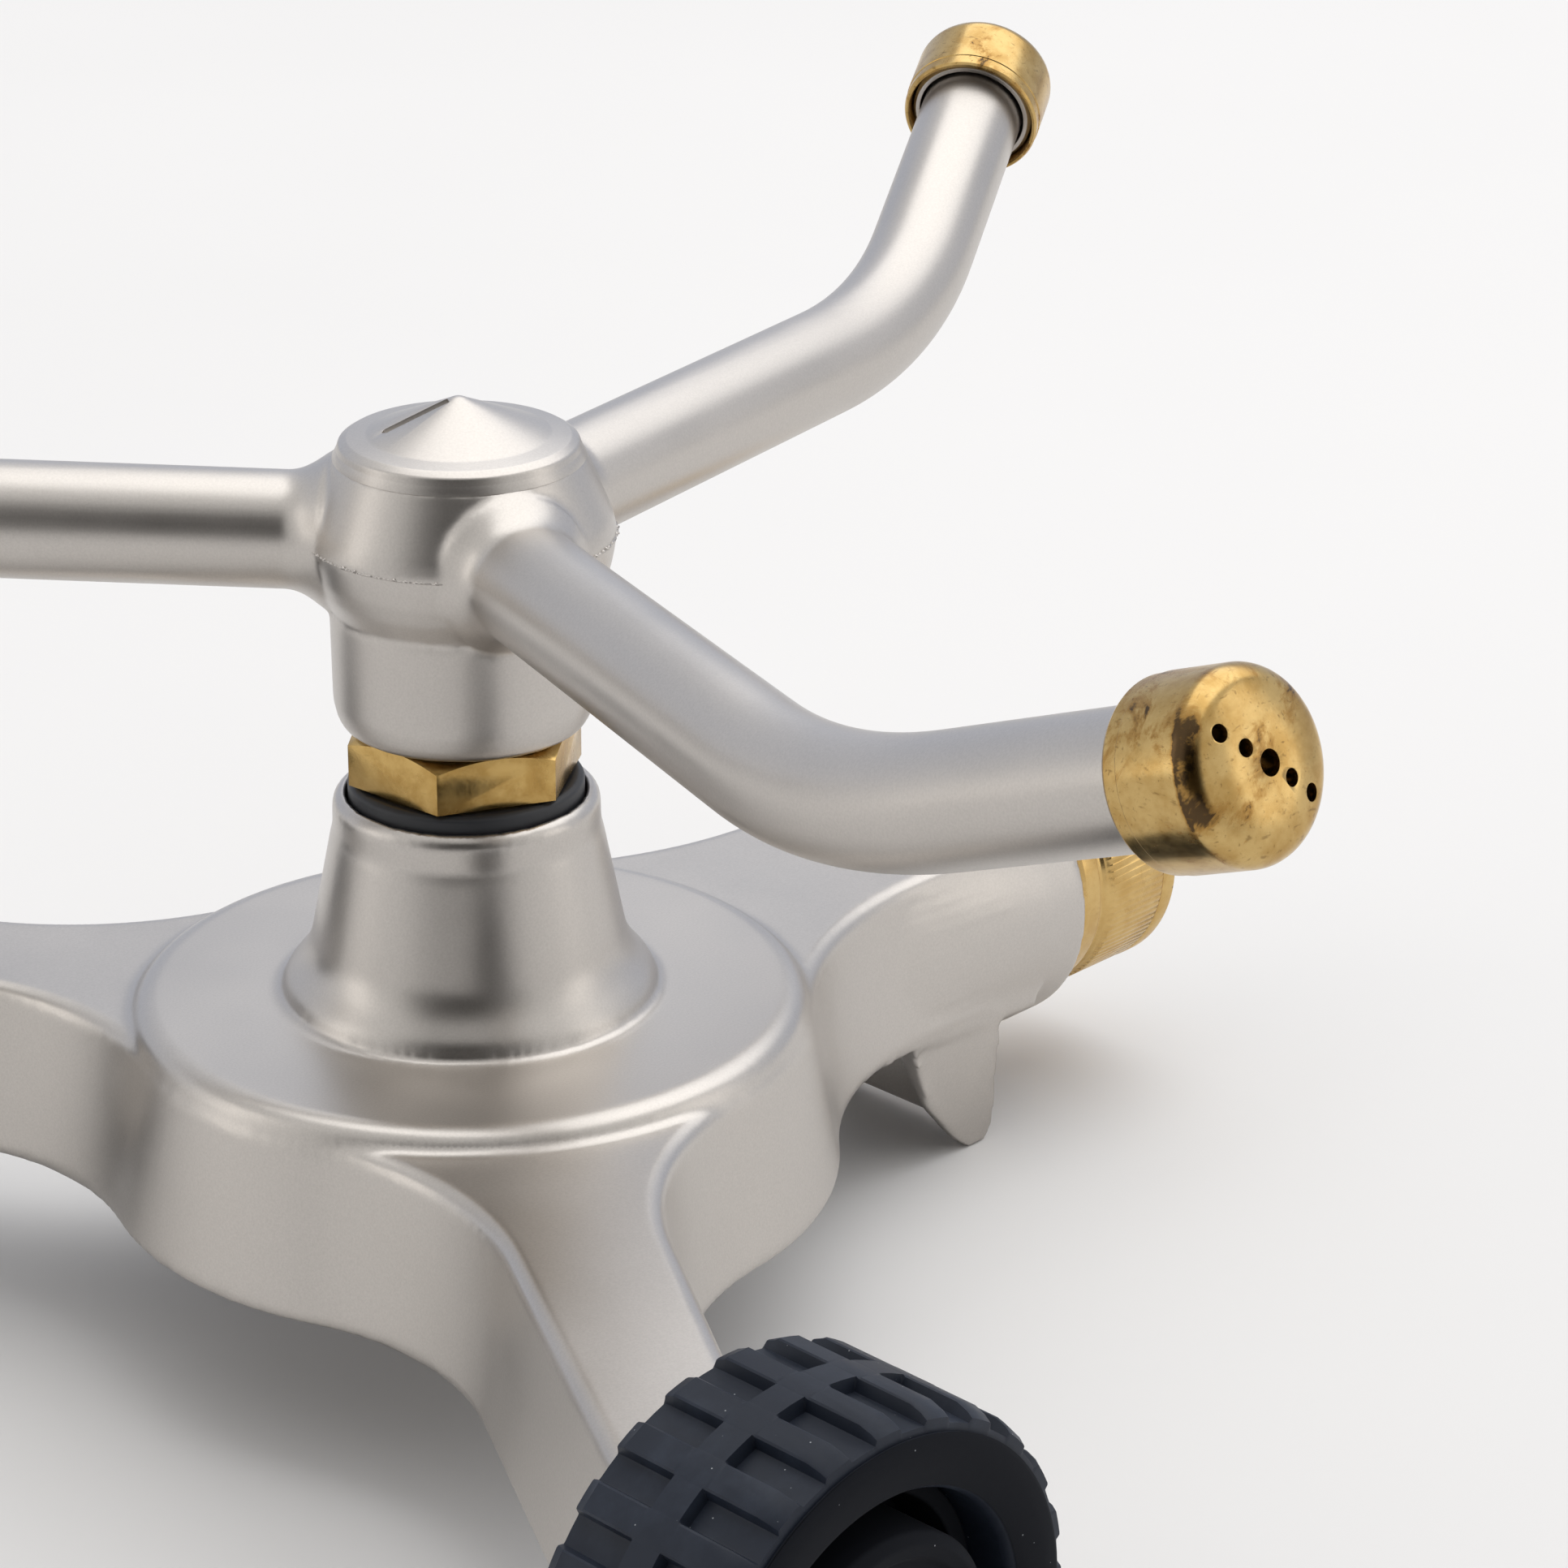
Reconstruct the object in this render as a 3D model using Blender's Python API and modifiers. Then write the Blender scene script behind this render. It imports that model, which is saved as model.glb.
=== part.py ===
"""Three-arm rotary lawn sprinkler on a cast base with two wheels.

Named sizes are in millimetres and are turned to metres where a mesh is made. +Z is up, the ground is Z = 0,
+X points along the inlet leg, and the right wheel is on the -Y side. Heights in the profiles are measured
from the top face of the round pad, which is PAD_HEIGHT above the ground.
"""
from math import atan2, ceil, cos, hypot, pi, radians, sin, sqrt, tan

import bmesh
import bpy
from mathutils import Matrix, Vector

MM = 0.001
GAP = 0.3                       # clearance between pieces that seat on each other

# Place of the rotor's axis and of the pad: the origin is on the ground, under the middle of the whole box
AXIS_X = -13.87
AXIS_Y = 10.37
PAD_HEIGHT = 38.2

# Base casting
LEG_TOP = -2.0                  # top face of the legs
SKIRT_BOTTOM = -20.8            # bottom edge of the drum and the legs
WALL = 2.4
PAD_R = 35.2
DRUM_R = 35.4                   # radius of the drum at its top edge
DRUM_DRAFT = 3.5                # how far the drum's side leans out towards the bottom
DRAFT = 2.6                     # the same for the legs' sides
FILLET_DRAFT = 6.0              # how much tighter the plan fillets are at the bottom
EDGE = 1.4                      # rounding of the legs' top edges
WHEEL_LEG_ANGLE = 121.0         # between the inlet leg and each wheel leg
WHEEL_LEG_HALF = 9.3            # half width where the straight side would meet the axis
WHEEL_LEG_TAPER = 0.025
WHEEL_LEG_END = 83.2            # side distance of the flat that the wheel faces
WHEEL_LEG_FILLET = 36.0
INLET_LEG_HALF = 12.6
INLET_LEG_END = 74.0
INLET_LEG_FILLET = 44.0
RIB_HALF = 1.2

# Foot under the inlet leg: two side walls and a front wall, open towards the drum and downwards. It has its
# own mesh, a gap under the leg's edge, so that the space between its walls stays a simple one.
FOOT_TOP_HALF = 15.1
FOOT_TIP_HALF = 13.0
FOOT_WALL = 1.8
FOOT_FRONT_RISE = 0.9           # how far the front wall ends above the ground

# Tower in the middle of the casting
TOWER_TOP = 22.3
CUP_FLOOR = 17.9
CUP_R = 12.35
THREAD_R = 10.0                 # bore that takes the spindle's shank
WATER_R = 5.5
PIPE_R = 7.4

# Inlet: collar, nipple, swivel and washer on one axis along +X
INLET_Z = -13.3
COLLAR_R = 16.4
COLLAR_END = 80.4
NIPPLE_R = 9.0
SWIVEL_R = 15.1
SWIVEL_START = 81.0
SWIVEL_END = 98.6
SOCKET_R = 12.9

# Bearing on the tower
HEX_FLATS = 21.4
HEX_BOTTOM = 23.9
HEX_TOP = 29.2
HEX_TURN = -145.8               # direction of one corner
SHAFT_R = 6.8
SHAFT_TOP = 47.0

# Rotor
ROTOR_TURN = 130.55             # direction of arm 1 as photographed
HUB_BOTTOM = 29.6
HUB_TOP = 56.6
CAVITY_R = 9.6
ARM_HEIGHT = 49.25
ARM_R = 6.0
ARM_BORE_R = 4.8
ARM_START = 12.3                # the arm's inner end, from the rotor's axis
ARM_CORNER = 81.2               # where the arm's two straight runs would meet
ARM_RISE = 0.63                 # slope of the inner run, degrees
ARM_SWING = 18.35               # sideways turn of the outer run, degrees
ARM_LIFT = 21.86                # upward slope of the outer run, degrees
ARM_BEND_R = 60.0
ARM_OUTER = 46.9                # length of the outer run from the corner
CONE_TOP = 63.85

# Nozzle caps, measured along the outer run from the corner
CAP_R = 8.16
CAP_REAR = 40.15
CAP_FRONT = 50.1
CAP_BORE_R = 7.4
JET_SPACING = 2.75
JET_R = 0.75
JET_MIDDLE_R = 1.1
JET_ROW_TILT = 140.0            # turn of the row of holes, from level

# Wheels, measured along the axle from the wheel's inner face
WHEEL_X = -48.9
WHEEL_INNER = 84.5
WHEEL_R = 24.2
WHEEL_WIDTH = 19.8
LUG_DEPTH = 1.3
LUGS = 24
TYRE_BORE_R = 17.0
AXLE_R = 3.0
WHEEL_PHASE = 1.9

STEPS = 32                      # facets round a large turned piece


# Scene and helpers

for old in list(bpy.data.objects):
    bpy.data.objects.remove(old)
parts = bpy.data.collections.new("rotary_sprinkler")
cutters = bpy.data.collections.new("cutters")
bpy.context.scene.collection.children.link(parts)
bpy.context.scene.collection.children.link(cutters)


def finish(name, colour, roughness, metallic):
    """A Principled material for one sub-part."""
    material = bpy.data.materials.new(name)
    material.use_nodes = True
    shader = material.node_tree.nodes["Principled BSDF"]
    shader.inputs["Base Color"].default_value = (*colour, 1.0)
    shader.inputs["Roughness"].default_value = roughness
    shader.inputs["Metallic"].default_value = metallic
    return material


SATIN = dict(colour=(0.45, 0.42, 0.40), roughness=0.38, metallic=0.8)
BRASS = dict(colour=(0.60, 0.36, 0.08), roughness=0.3, metallic=1.0)
RUBBER = dict(colour=(0.015, 0.016, 0.018), roughness=0.7, metallic=0.0)
TYRE = dict(colour=(0.02, 0.022, 0.028), roughness=0.6, metallic=0.0)
NYLON = dict(colour=(0.75, 0.74, 0.70), roughness=0.45, metallic=0.0)
STEEL = dict(colour=(0.55, 0.55, 0.55), roughness=0.3, metallic=1.0)


def axes(name, location=(0, 0, 0), rotation=None, parent=None):
    """An empty that carries pieces; its Z axis is the axis that they are turned on."""
    empty = bpy.data.objects.new(name, None)
    parts.objects.link(empty)
    empty.parent = parent
    turn = (rotation or Matrix.Identity(3)).to_4x4()
    empty.matrix_local = Matrix.Translation(Vector(location) * MM) @ turn
    return empty


def placed(name, mesh, parent, look=None):
    """An object from a mesh: a named part with its own material, or a cutter when it has no look."""
    piece = bpy.data.objects.new(name, mesh)
    piece.parent = parent
    if look is None:
        cutters.objects.link(piece)
        piece.hide_render = True
        piece.display_type = "WIRE"
        return piece
    parts.objects.link(piece)
    mesh.materials.append(finish(name + "_finish", **look))
    mesh.shade_smooth()
    mesh.set_sharp_from_angle(angle=radians(35))
    return piece


def rounded(corners, closed=True, steps=2):
    """Corner points (x, y) or (x, y, radius), with an arc in place of each corner that has a radius."""
    points = []
    count = len(corners)
    for i, corner in enumerate(corners):
        here = Vector(corner[:2])
        radius = corner[2] if len(corner) > 2 else 0
        if not radius or (not closed and i in (0, count - 1)):
            points.append(here)
            continue
        before = (Vector(corners[i - 1][:2]) - here).normalized()
        after = (Vector(corners[(i + 1) % count][:2]) - here).normalized()
        half = before.angle(after) / 2
        centre = here + (before + after).normalized() * (radius / sin(half))
        start = here + before * (radius / tan(half)) - centre
        end = here + after * (radius / tan(half)) - centre
        sweep = atan2(start.x * end.y - start.y * end.x, start.dot(end))
        points += [centre + Matrix.Rotation(sweep * k / steps, 2) @ start for k in range(steps + 1)]
    return points


def turned(name, corners, parent, look=None, steps=STEPS, solid=False, fillet_steps=2):
    """A turned piece from (radius, height) corners that run down its outer side; solid ones meet the axis."""
    points = rounded(corners, closed=not solid, steps=fillet_steps)
    mesh = bpy.data.meshes.new(name)
    edges = [(i, i + 1) for i in range(len(points) - 1)]
    if not solid:
        edges.append((len(points) - 1, 0))
    mesh.from_pydata([(p.x * MM, 0, p.y * MM) for p in points], edges, [])
    piece = placed(name, mesh, parent, look)
    screw = piece.modifiers.new("turn", "SCREW")
    screw.steps = screw.render_steps = steps
    screw.use_merge_vertices = True
    screw.merge_threshold = 0.00001
    screw.use_smooth_shade = look is not None
    return piece


def rod(name, radius, low, high, parent, steps=24):
    """A plain cylinder along the parent's Z axis, used to cut or to build up."""
    return turned(name, [(0, high), (radius, high), (radius, low), (0, low)], parent, None, steps, solid=True)


def lofted(name, rings, parent, look=None):
    """A closed skin through rings of (x, y, z) points that all have the same count."""
    bm = bmesh.new()
    loops = [[bm.verts.new(Vector(p) * MM) for p in ring] for ring in rings]
    count = len(loops[0])
    for low, high in zip(loops, loops[1:]):
        for i in range(count):
            j = (i + 1) % count
            bm.faces.new((low[i], low[j], high[j], high[i]))
    bm.faces.new(list(reversed(loops[0])))
    bm.faces.new(loops[-1])
    bmesh.ops.recalc_face_normals(bm, faces=bm.faces)
    mesh = bpy.data.meshes.new(name)
    bm.to_mesh(mesh)
    bm.free()
    return placed(name, mesh, parent, look)


def plate(name, corners, half, parent, look=None):
    """An upright plate from an outline in X and Z; half is its half thickness, even or as a rule of Z."""
    points = rounded(corners)
    side = half if callable(half) else (lambda z: half)
    return lofted(name, [[(p.x, sign * side(p.y), p.y) for p in points] for sign in (1, -1)], parent, look)


def baked(piece, name, look):
    """The mesh that a piece's modifiers make, as a new part in its place."""
    bpy.context.view_layer.update()
    evaluated = piece.evaluated_get(bpy.context.evaluated_depsgraph_get())
    mesh = bpy.data.meshes.new_from_object(evaluated)
    parent, local = piece.parent, piece.matrix_local.copy()
    bpy.data.objects.remove(piece)
    fresh = placed(name, mesh, parent, look)
    fresh.matrix_local = local
    return fresh


def combine(piece, other, operation):
    """A Boolean step of one piece with another."""
    step = piece.modifiers.new(operation.lower() + "_" + other.name, "BOOLEAN")
    step.operation = operation
    step.object = other
    step.solver = "EXACT"


def cut(piece, *tools):
    for tool in tools:
        combine(piece, tool, "DIFFERENCE")


def join(piece, *others):
    for other in others:
        combine(piece, other, "UNION")


def weld(piece):
    """Points that a Boolean leaves on one another become one."""
    step = piece.modifiers.new("weld", "WELD")
    step.merge_threshold = 0.00002


sprinkler = axes("sprinkler", (AXIS_X, AXIS_Y, PAD_HEIGHT))
along_x = Matrix(((0, 0, 1), (0, 1, 0), (-1, 0, 0)))


# Base casting: one outline for the drum and its three legs, lofted with draft

def leg_side(radius, half, taper, fillet):
    """Left side of a leg in its own frame: the blend's centre, and where it leaves the drum and the side."""
    slope = hypot(1, taper)
    reach = half + fillet * slope
    a, b, c = 1 + taper * taper, -2 * reach * taper, reach * reach - (radius + fillet) ** 2
    x = (-b + sqrt(b * b - 4 * a * c)) / (2 * a)
    centre = Vector((x, reach - taper * x))
    leave_drum = centre * (radius / (radius + fillet))
    leave_side = centre - Vector((taper, 1)) * (fillet / slope)
    return centre, leave_drum, leave_side


def blend(centre, start, end, steps):
    """Points of the arc from start to end about centre."""
    a, b = start - centre, end - centre
    sweep = atan2(a.x * b.y - a.y * b.x, a.dot(b))
    return [centre + Matrix.Rotation(sweep * k / steps, 2) @ a for k in range(steps + 1)]


def casting_outline(inset, draft):
    """Plan of the casting, drawn in by an inset; draft goes from 0 at the top to 1 at the bottom edge."""
    radius = DRUM_R + DRUM_DRAFT * draft - inset
    outline = []
    for angle in (0.0, WHEEL_LEG_ANGLE, -WHEEL_LEG_ANGLE):
        wheel = angle != 0
        half = (WHEEL_LEG_HALF if wheel else INLET_LEG_HALF) + DRAFT * draft - inset
        taper = WHEEL_LEG_TAPER if wheel else 0.0
        fillet = (WHEEL_LEG_FILLET if wheel else INLET_LEG_FILLET) - FILLET_DRAFT * draft + inset
        centre, leave_drum, leave_side = leg_side(radius, half, taper, fillet)
        turn = Matrix.Rotation(radians(angle), 2)

        def tip(sign):
            """End corner of a side: on the inlet leg's end, or on the flat that faces the wheel."""
            if not wheel:
                reach = INLET_LEG_END - inset
            else:
                side = (WHEEL_LEG_END - inset) * (1 if angle > 0 else -1)
                run = sin(radians(angle)) - sign * taper * cos(radians(angle))
                reach = (side - sign * half * cos(radians(angle))) / run
            return Vector((reach, sign * (half - taper * reach)))

        left = blend(centre, leave_drum, leave_side, 5) + [tip(1)]
        right = [Vector((p.x, -p.y)) for p in reversed(left[:-1])]
        outline.append([turn @ p for p in reversed([tip(-1)] + right)] + [turn @ p for p in reversed(left)])
    points = []
    for i, leg in enumerate(outline):
        points += leg
        start, end = leg[-1], outline[(i + 1) % 3][0]
        first = atan2(start.y, start.x)
        sweep = (atan2(end.y, end.x) - first) % (2 * pi)
        points += [Vector((radius * cos(first + sweep * k / 6), radius * sin(first + sweep * k / 6)))
                   for k in range(1, 6)]
    return points


def casting_ring(height, inset):
    draft = (LEG_TOP - height) / (LEG_TOP - SKIRT_BOTTOM)
    return [(p.x, p.y, height) for p in casting_outline(inset, draft)]


edge_arc = [(EDGE * (1 - cos(a)), EDGE * (1 - sin(a))) for a in (0, pi / 6, pi / 3, pi / 2)]
outer_rings = [casting_ring(SKIRT_BOTTOM, 0)]
outer_rings += [casting_ring(LEG_TOP - drop, inset) for inset, drop in edge_arc]
base = lofted("base_casting", outer_rings, sprinkler, SATIN)

# Pad and tower: a flat pad with a rounded rim, a flared cone with a low step at its foot and a rounded top lip
crown = turned("crown_form", [
    (0, TOWER_TOP), (12.6, TOWER_TOP, 0.5), (13.7, TOWER_TOP - 1.0, 0.9), (13.75, TOWER_TOP - 4.2),
    (13.95, TOWER_TOP - 4.6), (16.5, 4.9, 6.0), (19.3, 1.2, 0.6), (19.4, 0.0), (PAD_R, 0.0, 2.6),
    (PAD_R, LEG_TOP - 1.0), (33.0, LEG_TOP - 1.4), (0, LEG_TOP - 1.4)],
    sprinkler, steps=36, solid=True)

# Inlet collar: a round boss that stands out of the leg's end
inlet = axes("inlet_axis", (0, 0, INLET_Z), along_x, sprinkler)
collar = turned("collar_form", [
    (0, COLLAR_END), (COLLAR_R - 0.6, COLLAR_END), (COLLAR_R, COLLAR_END - 0.6), (COLLAR_R, 76.6),
    (15.6, 74.4), (14.4, 72.2), (12.8, 70.5), (0, 70.5)], inlet, steps=28, solid=True)

cavity = lofted("cavity", [
    casting_ring(SKIRT_BOTTOM - 2.0, WALL),
    casting_ring(LEG_TOP - WALL - 1.2, WALL),
    casting_ring(LEG_TOP - WALL, WALL + 1.2)], sprinkler)
pad_cavity = turned("pad_cavity", [
    (0, -WALL), (29.6, -WALL), (30.8, -WALL - 1.2), (30.8, -8.0), (0, -8.0)], sprinkler, steps=28, solid=True)

# Inside: the water pipe, the column under the tower, ribs along the wheel legs and the axle bosses
inner_limit = lofted("inner_limit", [casting_ring(SKIRT_BOTTOM + 0.2, 0.6), casting_ring(LEG_TOP - 0.6, 0.6)],
                     sprinkler)
column = rod("column_form", 12.4, SKIRT_BOTTOM + 1.0, -1.0, sprinkler, 24)
pipe = rod("pipe_form", PIPE_R, 0, 67.0, inlet, 16)
leg_ribs, axle_bosses, axle_bores = [], [], []
for side, sign in (("right", -1), ("left", 1)):
    leg_turn = Matrix.Rotation(radians(sign * WHEEL_LEG_ANGLE), 3, "Z")
    leg_ribs.append(plate("leg_rib_" + side, [(8.0, -14.0), (88.0, -14.0), (88.0, -2.2), (8.0, -2.2)],
                          RIB_HALF, axes("leg_" + side, (0, 0, 0), leg_turn, sprinkler)))
    axle = axes("axle_" + side, (WHEEL_X, sign * WHEEL_INNER, WHEEL_R - PAD_HEIGHT),
                Matrix.Rotation(radians(-sign * 90), 3, "X"), sprinkler)
    axle_bosses.append(rod("axle_boss_" + side, 6.2, -16.0, WHEEL_LEG_END - WHEEL_INNER, axle, 20))
    axle_bores.append(rod("axle_bore_" + side, AXLE_R + GAP, -13.5, 2.0, axle, 20))
cross_ribs = [plate("cross_rib_" + str(k), [(8.0, -12.0), (32.6, -12.0), (32.6, -2.2), (8.0, -2.2)], RIB_HALF,
                    axes("cross_" + str(k), (0, 0, 0), Matrix.Rotation(radians(a), 3, "Z"), sprinkler))
              for k, a in enumerate((60.0, 180.0, 300.0))]

# Bores: inlet thread and water way, riser, spindle thread and the cup for the seal
inlet_bore = turned("inlet_bore", [
    (0, COLLAR_END + 2), (NIPPLE_R + GAP, COLLAR_END + 2), (NIPPLE_R + GAP, 68.0), (WATER_R, 66.5),
    (WATER_R, -1.0), (0, -1.0)], inlet, steps=16, solid=True)
riser = turned("riser_bore", [
    (0, TOWER_TOP + 2), (CUP_R, TOWER_TOP + 2), (CUP_R, CUP_FLOOR), (THREAD_R, CUP_FLOOR),
    (THREAD_R, 6.0), (WATER_R + 0.4, 3.0), (WATER_R + 0.4, INLET_Z + 0.5), (0, INLET_Z + 0.5)],
    sprinkler, steps=24, solid=True)

for boss in axle_bosses:
    combine(boss, inner_limit, "INTERSECT")
join(column, pipe, *leg_ribs, *axle_bosses, *cross_ribs)
join(cavity, pad_cavity)
join(inlet_bore, riser)
join(base, crown)
cut(base, cavity)
join(base, column, collar)
cut(base, inlet_bore, *axle_bores)
weld(base)


def foot_half(z):
    """Half width of the foot, which narrows downwards."""
    return FOOT_TOP_HALF + (FOOT_TIP_HALF - FOOT_TOP_HALF) * (SKIRT_BOTTOM - z) / (SKIRT_BOTTOM + PAD_HEIGHT)


foot = plate("inlet_foot", [
    (52.8, SKIRT_BOTTOM - GAP), (56.5, -30.2, 6.0), (61.7, -35.9, 4.0), (64.4, -PAD_HEIGHT),
    (67.2, -PAD_HEIGHT, 1.0), (68.4, -36.2), (67.3, SKIRT_BOTTOM - GAP)], foot_half, sprinkler, SATIN)
front_end = FOOT_FRONT_RISE - PAD_HEIGHT
cut(foot, plate("foot_hollow", [
    (40.0, -10.0), (40.0, -44.0), (72.0, -44.0), (72.0, front_end), (66.4, front_end), (66.4, -36.0),
    (65.4, -22.0), (65.4, -10.0)], lambda z: foot_half(z) - FOOT_WALL, sprinkler))
weld(foot)


# Inlet: nipple fixed in the collar, swivel that turns on its flange, and the hose washer

turned("inlet_nipple", [
    (11.2, 86.2), (11.6, 85.8), (11.6, 84.5), (NIPPLE_R, 84.5), (NIPPLE_R, 68.6), (6.6, 68.6), (6.6, 86.2)],
    inlet, BRASS, steps=20)
turned("inlet_swivel", [
    (13.4, SWIVEL_END), (14.2, SWIVEL_END), (SWIVEL_R, SWIVEL_END - 0.9), (SWIVEL_R, 86.6),
    (14.6, 86.1), (14.0, 85.7), (14.0, 85.1), (14.5, 84.7), (14.5, 82.4), (14.1, 81.4), (13.4, SWIVEL_START),
    (9.5, SWIVEL_START), (9.5, 84.1), (SOCKET_R, 84.1), (SOCKET_R, SWIVEL_END - 0.5)], inlet, BRASS)
turned("inlet_washer", [(12.5, 89.4), (12.5, 86.6), (6.8, 86.6), (6.8, 89.4)], inlet, RUBBER, steps=20)


# Bearing: seal ring in the tower's cup, hollow spindle with a hex, washers, sleeve and nut

turned("spindle_seal", [
    (11.6, 23.5), (12.0, 22.9), (12.0, 18.2), (10.1, 18.2), (10.1, 23.5)], sprinkler, RUBBER, steps=24)

spindle_form = turned("spindle_form", [
    (SHAFT_R - 0.4, SHAFT_TOP), (SHAFT_R, SHAFT_TOP - 0.4), (SHAFT_R, HEX_BOTTOM + 1),
    (THREAD_R - GAP, HEX_BOTTOM + 1), (THREAD_R - GAP, 7.0), (9.0, 6.3), (4.6, 6.3), (4.6, SHAFT_TOP)],
    sprinkler, steps=24)
spindle = baked(spindle_form, "bearing_spindle", BRASS)
hex_corner = HEX_FLATS / 2 / cos(pi / 6)
corners = [(hex_corner * cos(a), hex_corner * sin(a)) for a in (radians(HEX_TURN + 60 * k) for k in range(6))]
hexagon = lofted("hex_form", [[(x, y, z) for x, y in corners] for z in (HEX_BOTTOM, HEX_TOP)], sprinkler)
chamfer = turned("hex_chamfer", [
    (0, HEX_TOP + 0.1), (HEX_FLATS / 2 - 0.2, HEX_TOP + 0.1), (hex_corner + 0.5, HEX_TOP - 1.25),
    (hex_corner + 0.5, HEX_BOTTOM - 0.1), (0, HEX_BOTTOM - 0.1)], sprinkler, steps=36, solid=True)
combine(hexagon, chamfer, "INTERSECT")
cut(hexagon, rod("hex_bore", 5.6, HEX_BOTTOM - 1, HEX_TOP + 1, sprinkler, 20))
join(spindle, hexagon)
weld(spindle)

turned("thrust_washer_lower", [(9.9, 30.1), (9.9, 29.5), (7.1, 29.5), (7.1, 30.1)], sprinkler, STEEL, steps=20)
turned("thrust_washer_upper", [(9.2, 42.2), (9.2, 41.6), (7.1, 41.6), (7.1, 42.2)], sprinkler, STEEL, steps=20)
nut = lofted("retaining_nut", [
    [(9.0 * cos(radians(60 * k)), 9.0 * sin(radians(60 * k)), z) for k in range(6)] for z in (42.5, 46.0)],
    sprinkler, BRASS)
cut(nut, rod("nut_bore", SHAFT_R + GAP, 41.0, 48.0, sprinkler))


# Rotor: hub with three arm sockets, bearing sleeve, cone cap and its seal

rotor = axes("rotor", (0, 0, 0), Matrix.Rotation(radians(ROTOR_TURN), 3, "Z"), sprinkler)

hub = turned("rotor_hub", [
    (0, HUB_TOP), (11.2, HUB_TOP), (11.2, 57.2), (12.6, 57.2), (13.6, 55.5), (14.6, 53.7), (15.2, 51.4),
    (15.4, 48.4), (15.3, 46.8), (14.9, 44.4), (13.9, 41.5), (13.1, 39.8), (12.95, 39.2), (13.3, 38.6),
    (13.25, 32.4), (12.9, 30.8), (12.4, 29.9), (11.9, HUB_BOTTOM), (0, HUB_BOTTOM)],
    rotor, SATIN, solid=True)
hub_bore = turned("hub_bore", [
    (0, HUB_TOP + 2), (CAVITY_R, HUB_TOP + 2), (CAVITY_R, 41.3), (7.6, 41.3), (7.6, 39.5), (10.5, 39.5),
    (10.5, HUB_BOTTOM - 2), (0, HUB_BOTTOM - 2)], rotor, steps=24, solid=True)
turned("bearing_sleeve", [(10.2, 39.2), (10.2, 30.4), (7.1, 30.4), (7.1, 39.2)], rotor, NYLON, steps=24)

turned("hub_cap_seal", [(10.9, 57.7), (10.9, 56.9), (9.7, 56.9), (9.7, 57.7)], rotor, RUBBER, steps=20)
cap = turned("hub_cap", [
    (0, CONE_TOP), (1.0, CONE_TOP - 0.3), (9.2, 60.1, 0.8), (11.3, 59.75), (11.9, 59.3), (12.6, 57.5),
    (11.2, 57.5), (11.2, 58.0), (9.3, 58.0), (9.3, 52.3), (7.6, 52.3), (7.6, 57.2), (0, 57.8)],
    rotor, SATIN, steps=28, solid=True)
groove_line = axes("cap_groove_axis", (0, 0, 0), Matrix.Rotation(radians(20.0), 3, "Z"), rotor)
groove = lofted("cap_groove", [
    [(1.4, -w, z), (8.0, -w, z - 2.75), (8.0, w, z - 2.75), (1.4, w, z)]
    for w, z in ((0.15, 62.4), (0.45, 64.4))], groove_line)
cut(cap, groove)
weld(cap)


def run(turn, lift):
    """Unit direction of an arm's straight run."""
    return Vector((cos(radians(turn)) * cos(radians(lift)), sin(radians(turn)) * cos(radians(lift)),
                   sin(radians(lift))))


inner_run, outer_run = run(0, ARM_RISE), run(ARM_SWING, ARM_LIFT)
arm_centre = Vector((0, 0, ARM_HEIGHT))
corner = arm_centre + inner_run * ARM_CORNER
bend_angle = inner_run.angle(outer_run)
bend_reach = ARM_BEND_R * tan(bend_angle / 2)
bend_centre = corner + (outer_run - inner_run).normalized() * (ARM_BEND_R / cos(bend_angle / 2))


def arm_path(start, end):
    """Centre line of an arm from a distance off the rotor's axis to a length past the corner."""
    first = corner - inner_run * bend_reach - bend_centre
    axis = inner_run.cross(outer_run)
    arc = [bend_centre + Matrix.Rotation(bend_angle * k / 5, 3, axis) @ first for k in range(6)]
    return [arm_centre + inner_run * start] + arc + [corner + outer_run * end]


def tube(name, path, radius, sides, parent):
    """A round bar along a path, as a mesh with closed ends."""
    curve = bpy.data.curves.new(name, "CURVE")
    curve.dimensions = "3D"
    curve.bevel_depth = radius * MM
    curve.bevel_resolution = sides // 2 - 2
    curve.use_fill_caps = True
    spline = curve.splines.new("POLY")
    spline.points.add(len(path) - 1)
    for point, place in zip(spline.points, path):
        point.co = (*(place * MM), 1)
    line = bpy.data.objects.new(name, curve)
    cutters.objects.link(line)
    bpy.context.view_layer.update()
    mesh = bpy.data.meshes.new_from_object(line.evaluated_get(bpy.context.evaluated_depsgraph_get()))
    bpy.data.objects.remove(line)
    bm = bmesh.new()
    bm.from_mesh(mesh)
    bmesh.ops.remove_doubles(bm, verts=bm.verts, dist=0.00001)
    bm.to_mesh(mesh)
    bm.free()
    return placed(name, mesh, parent)


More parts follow.
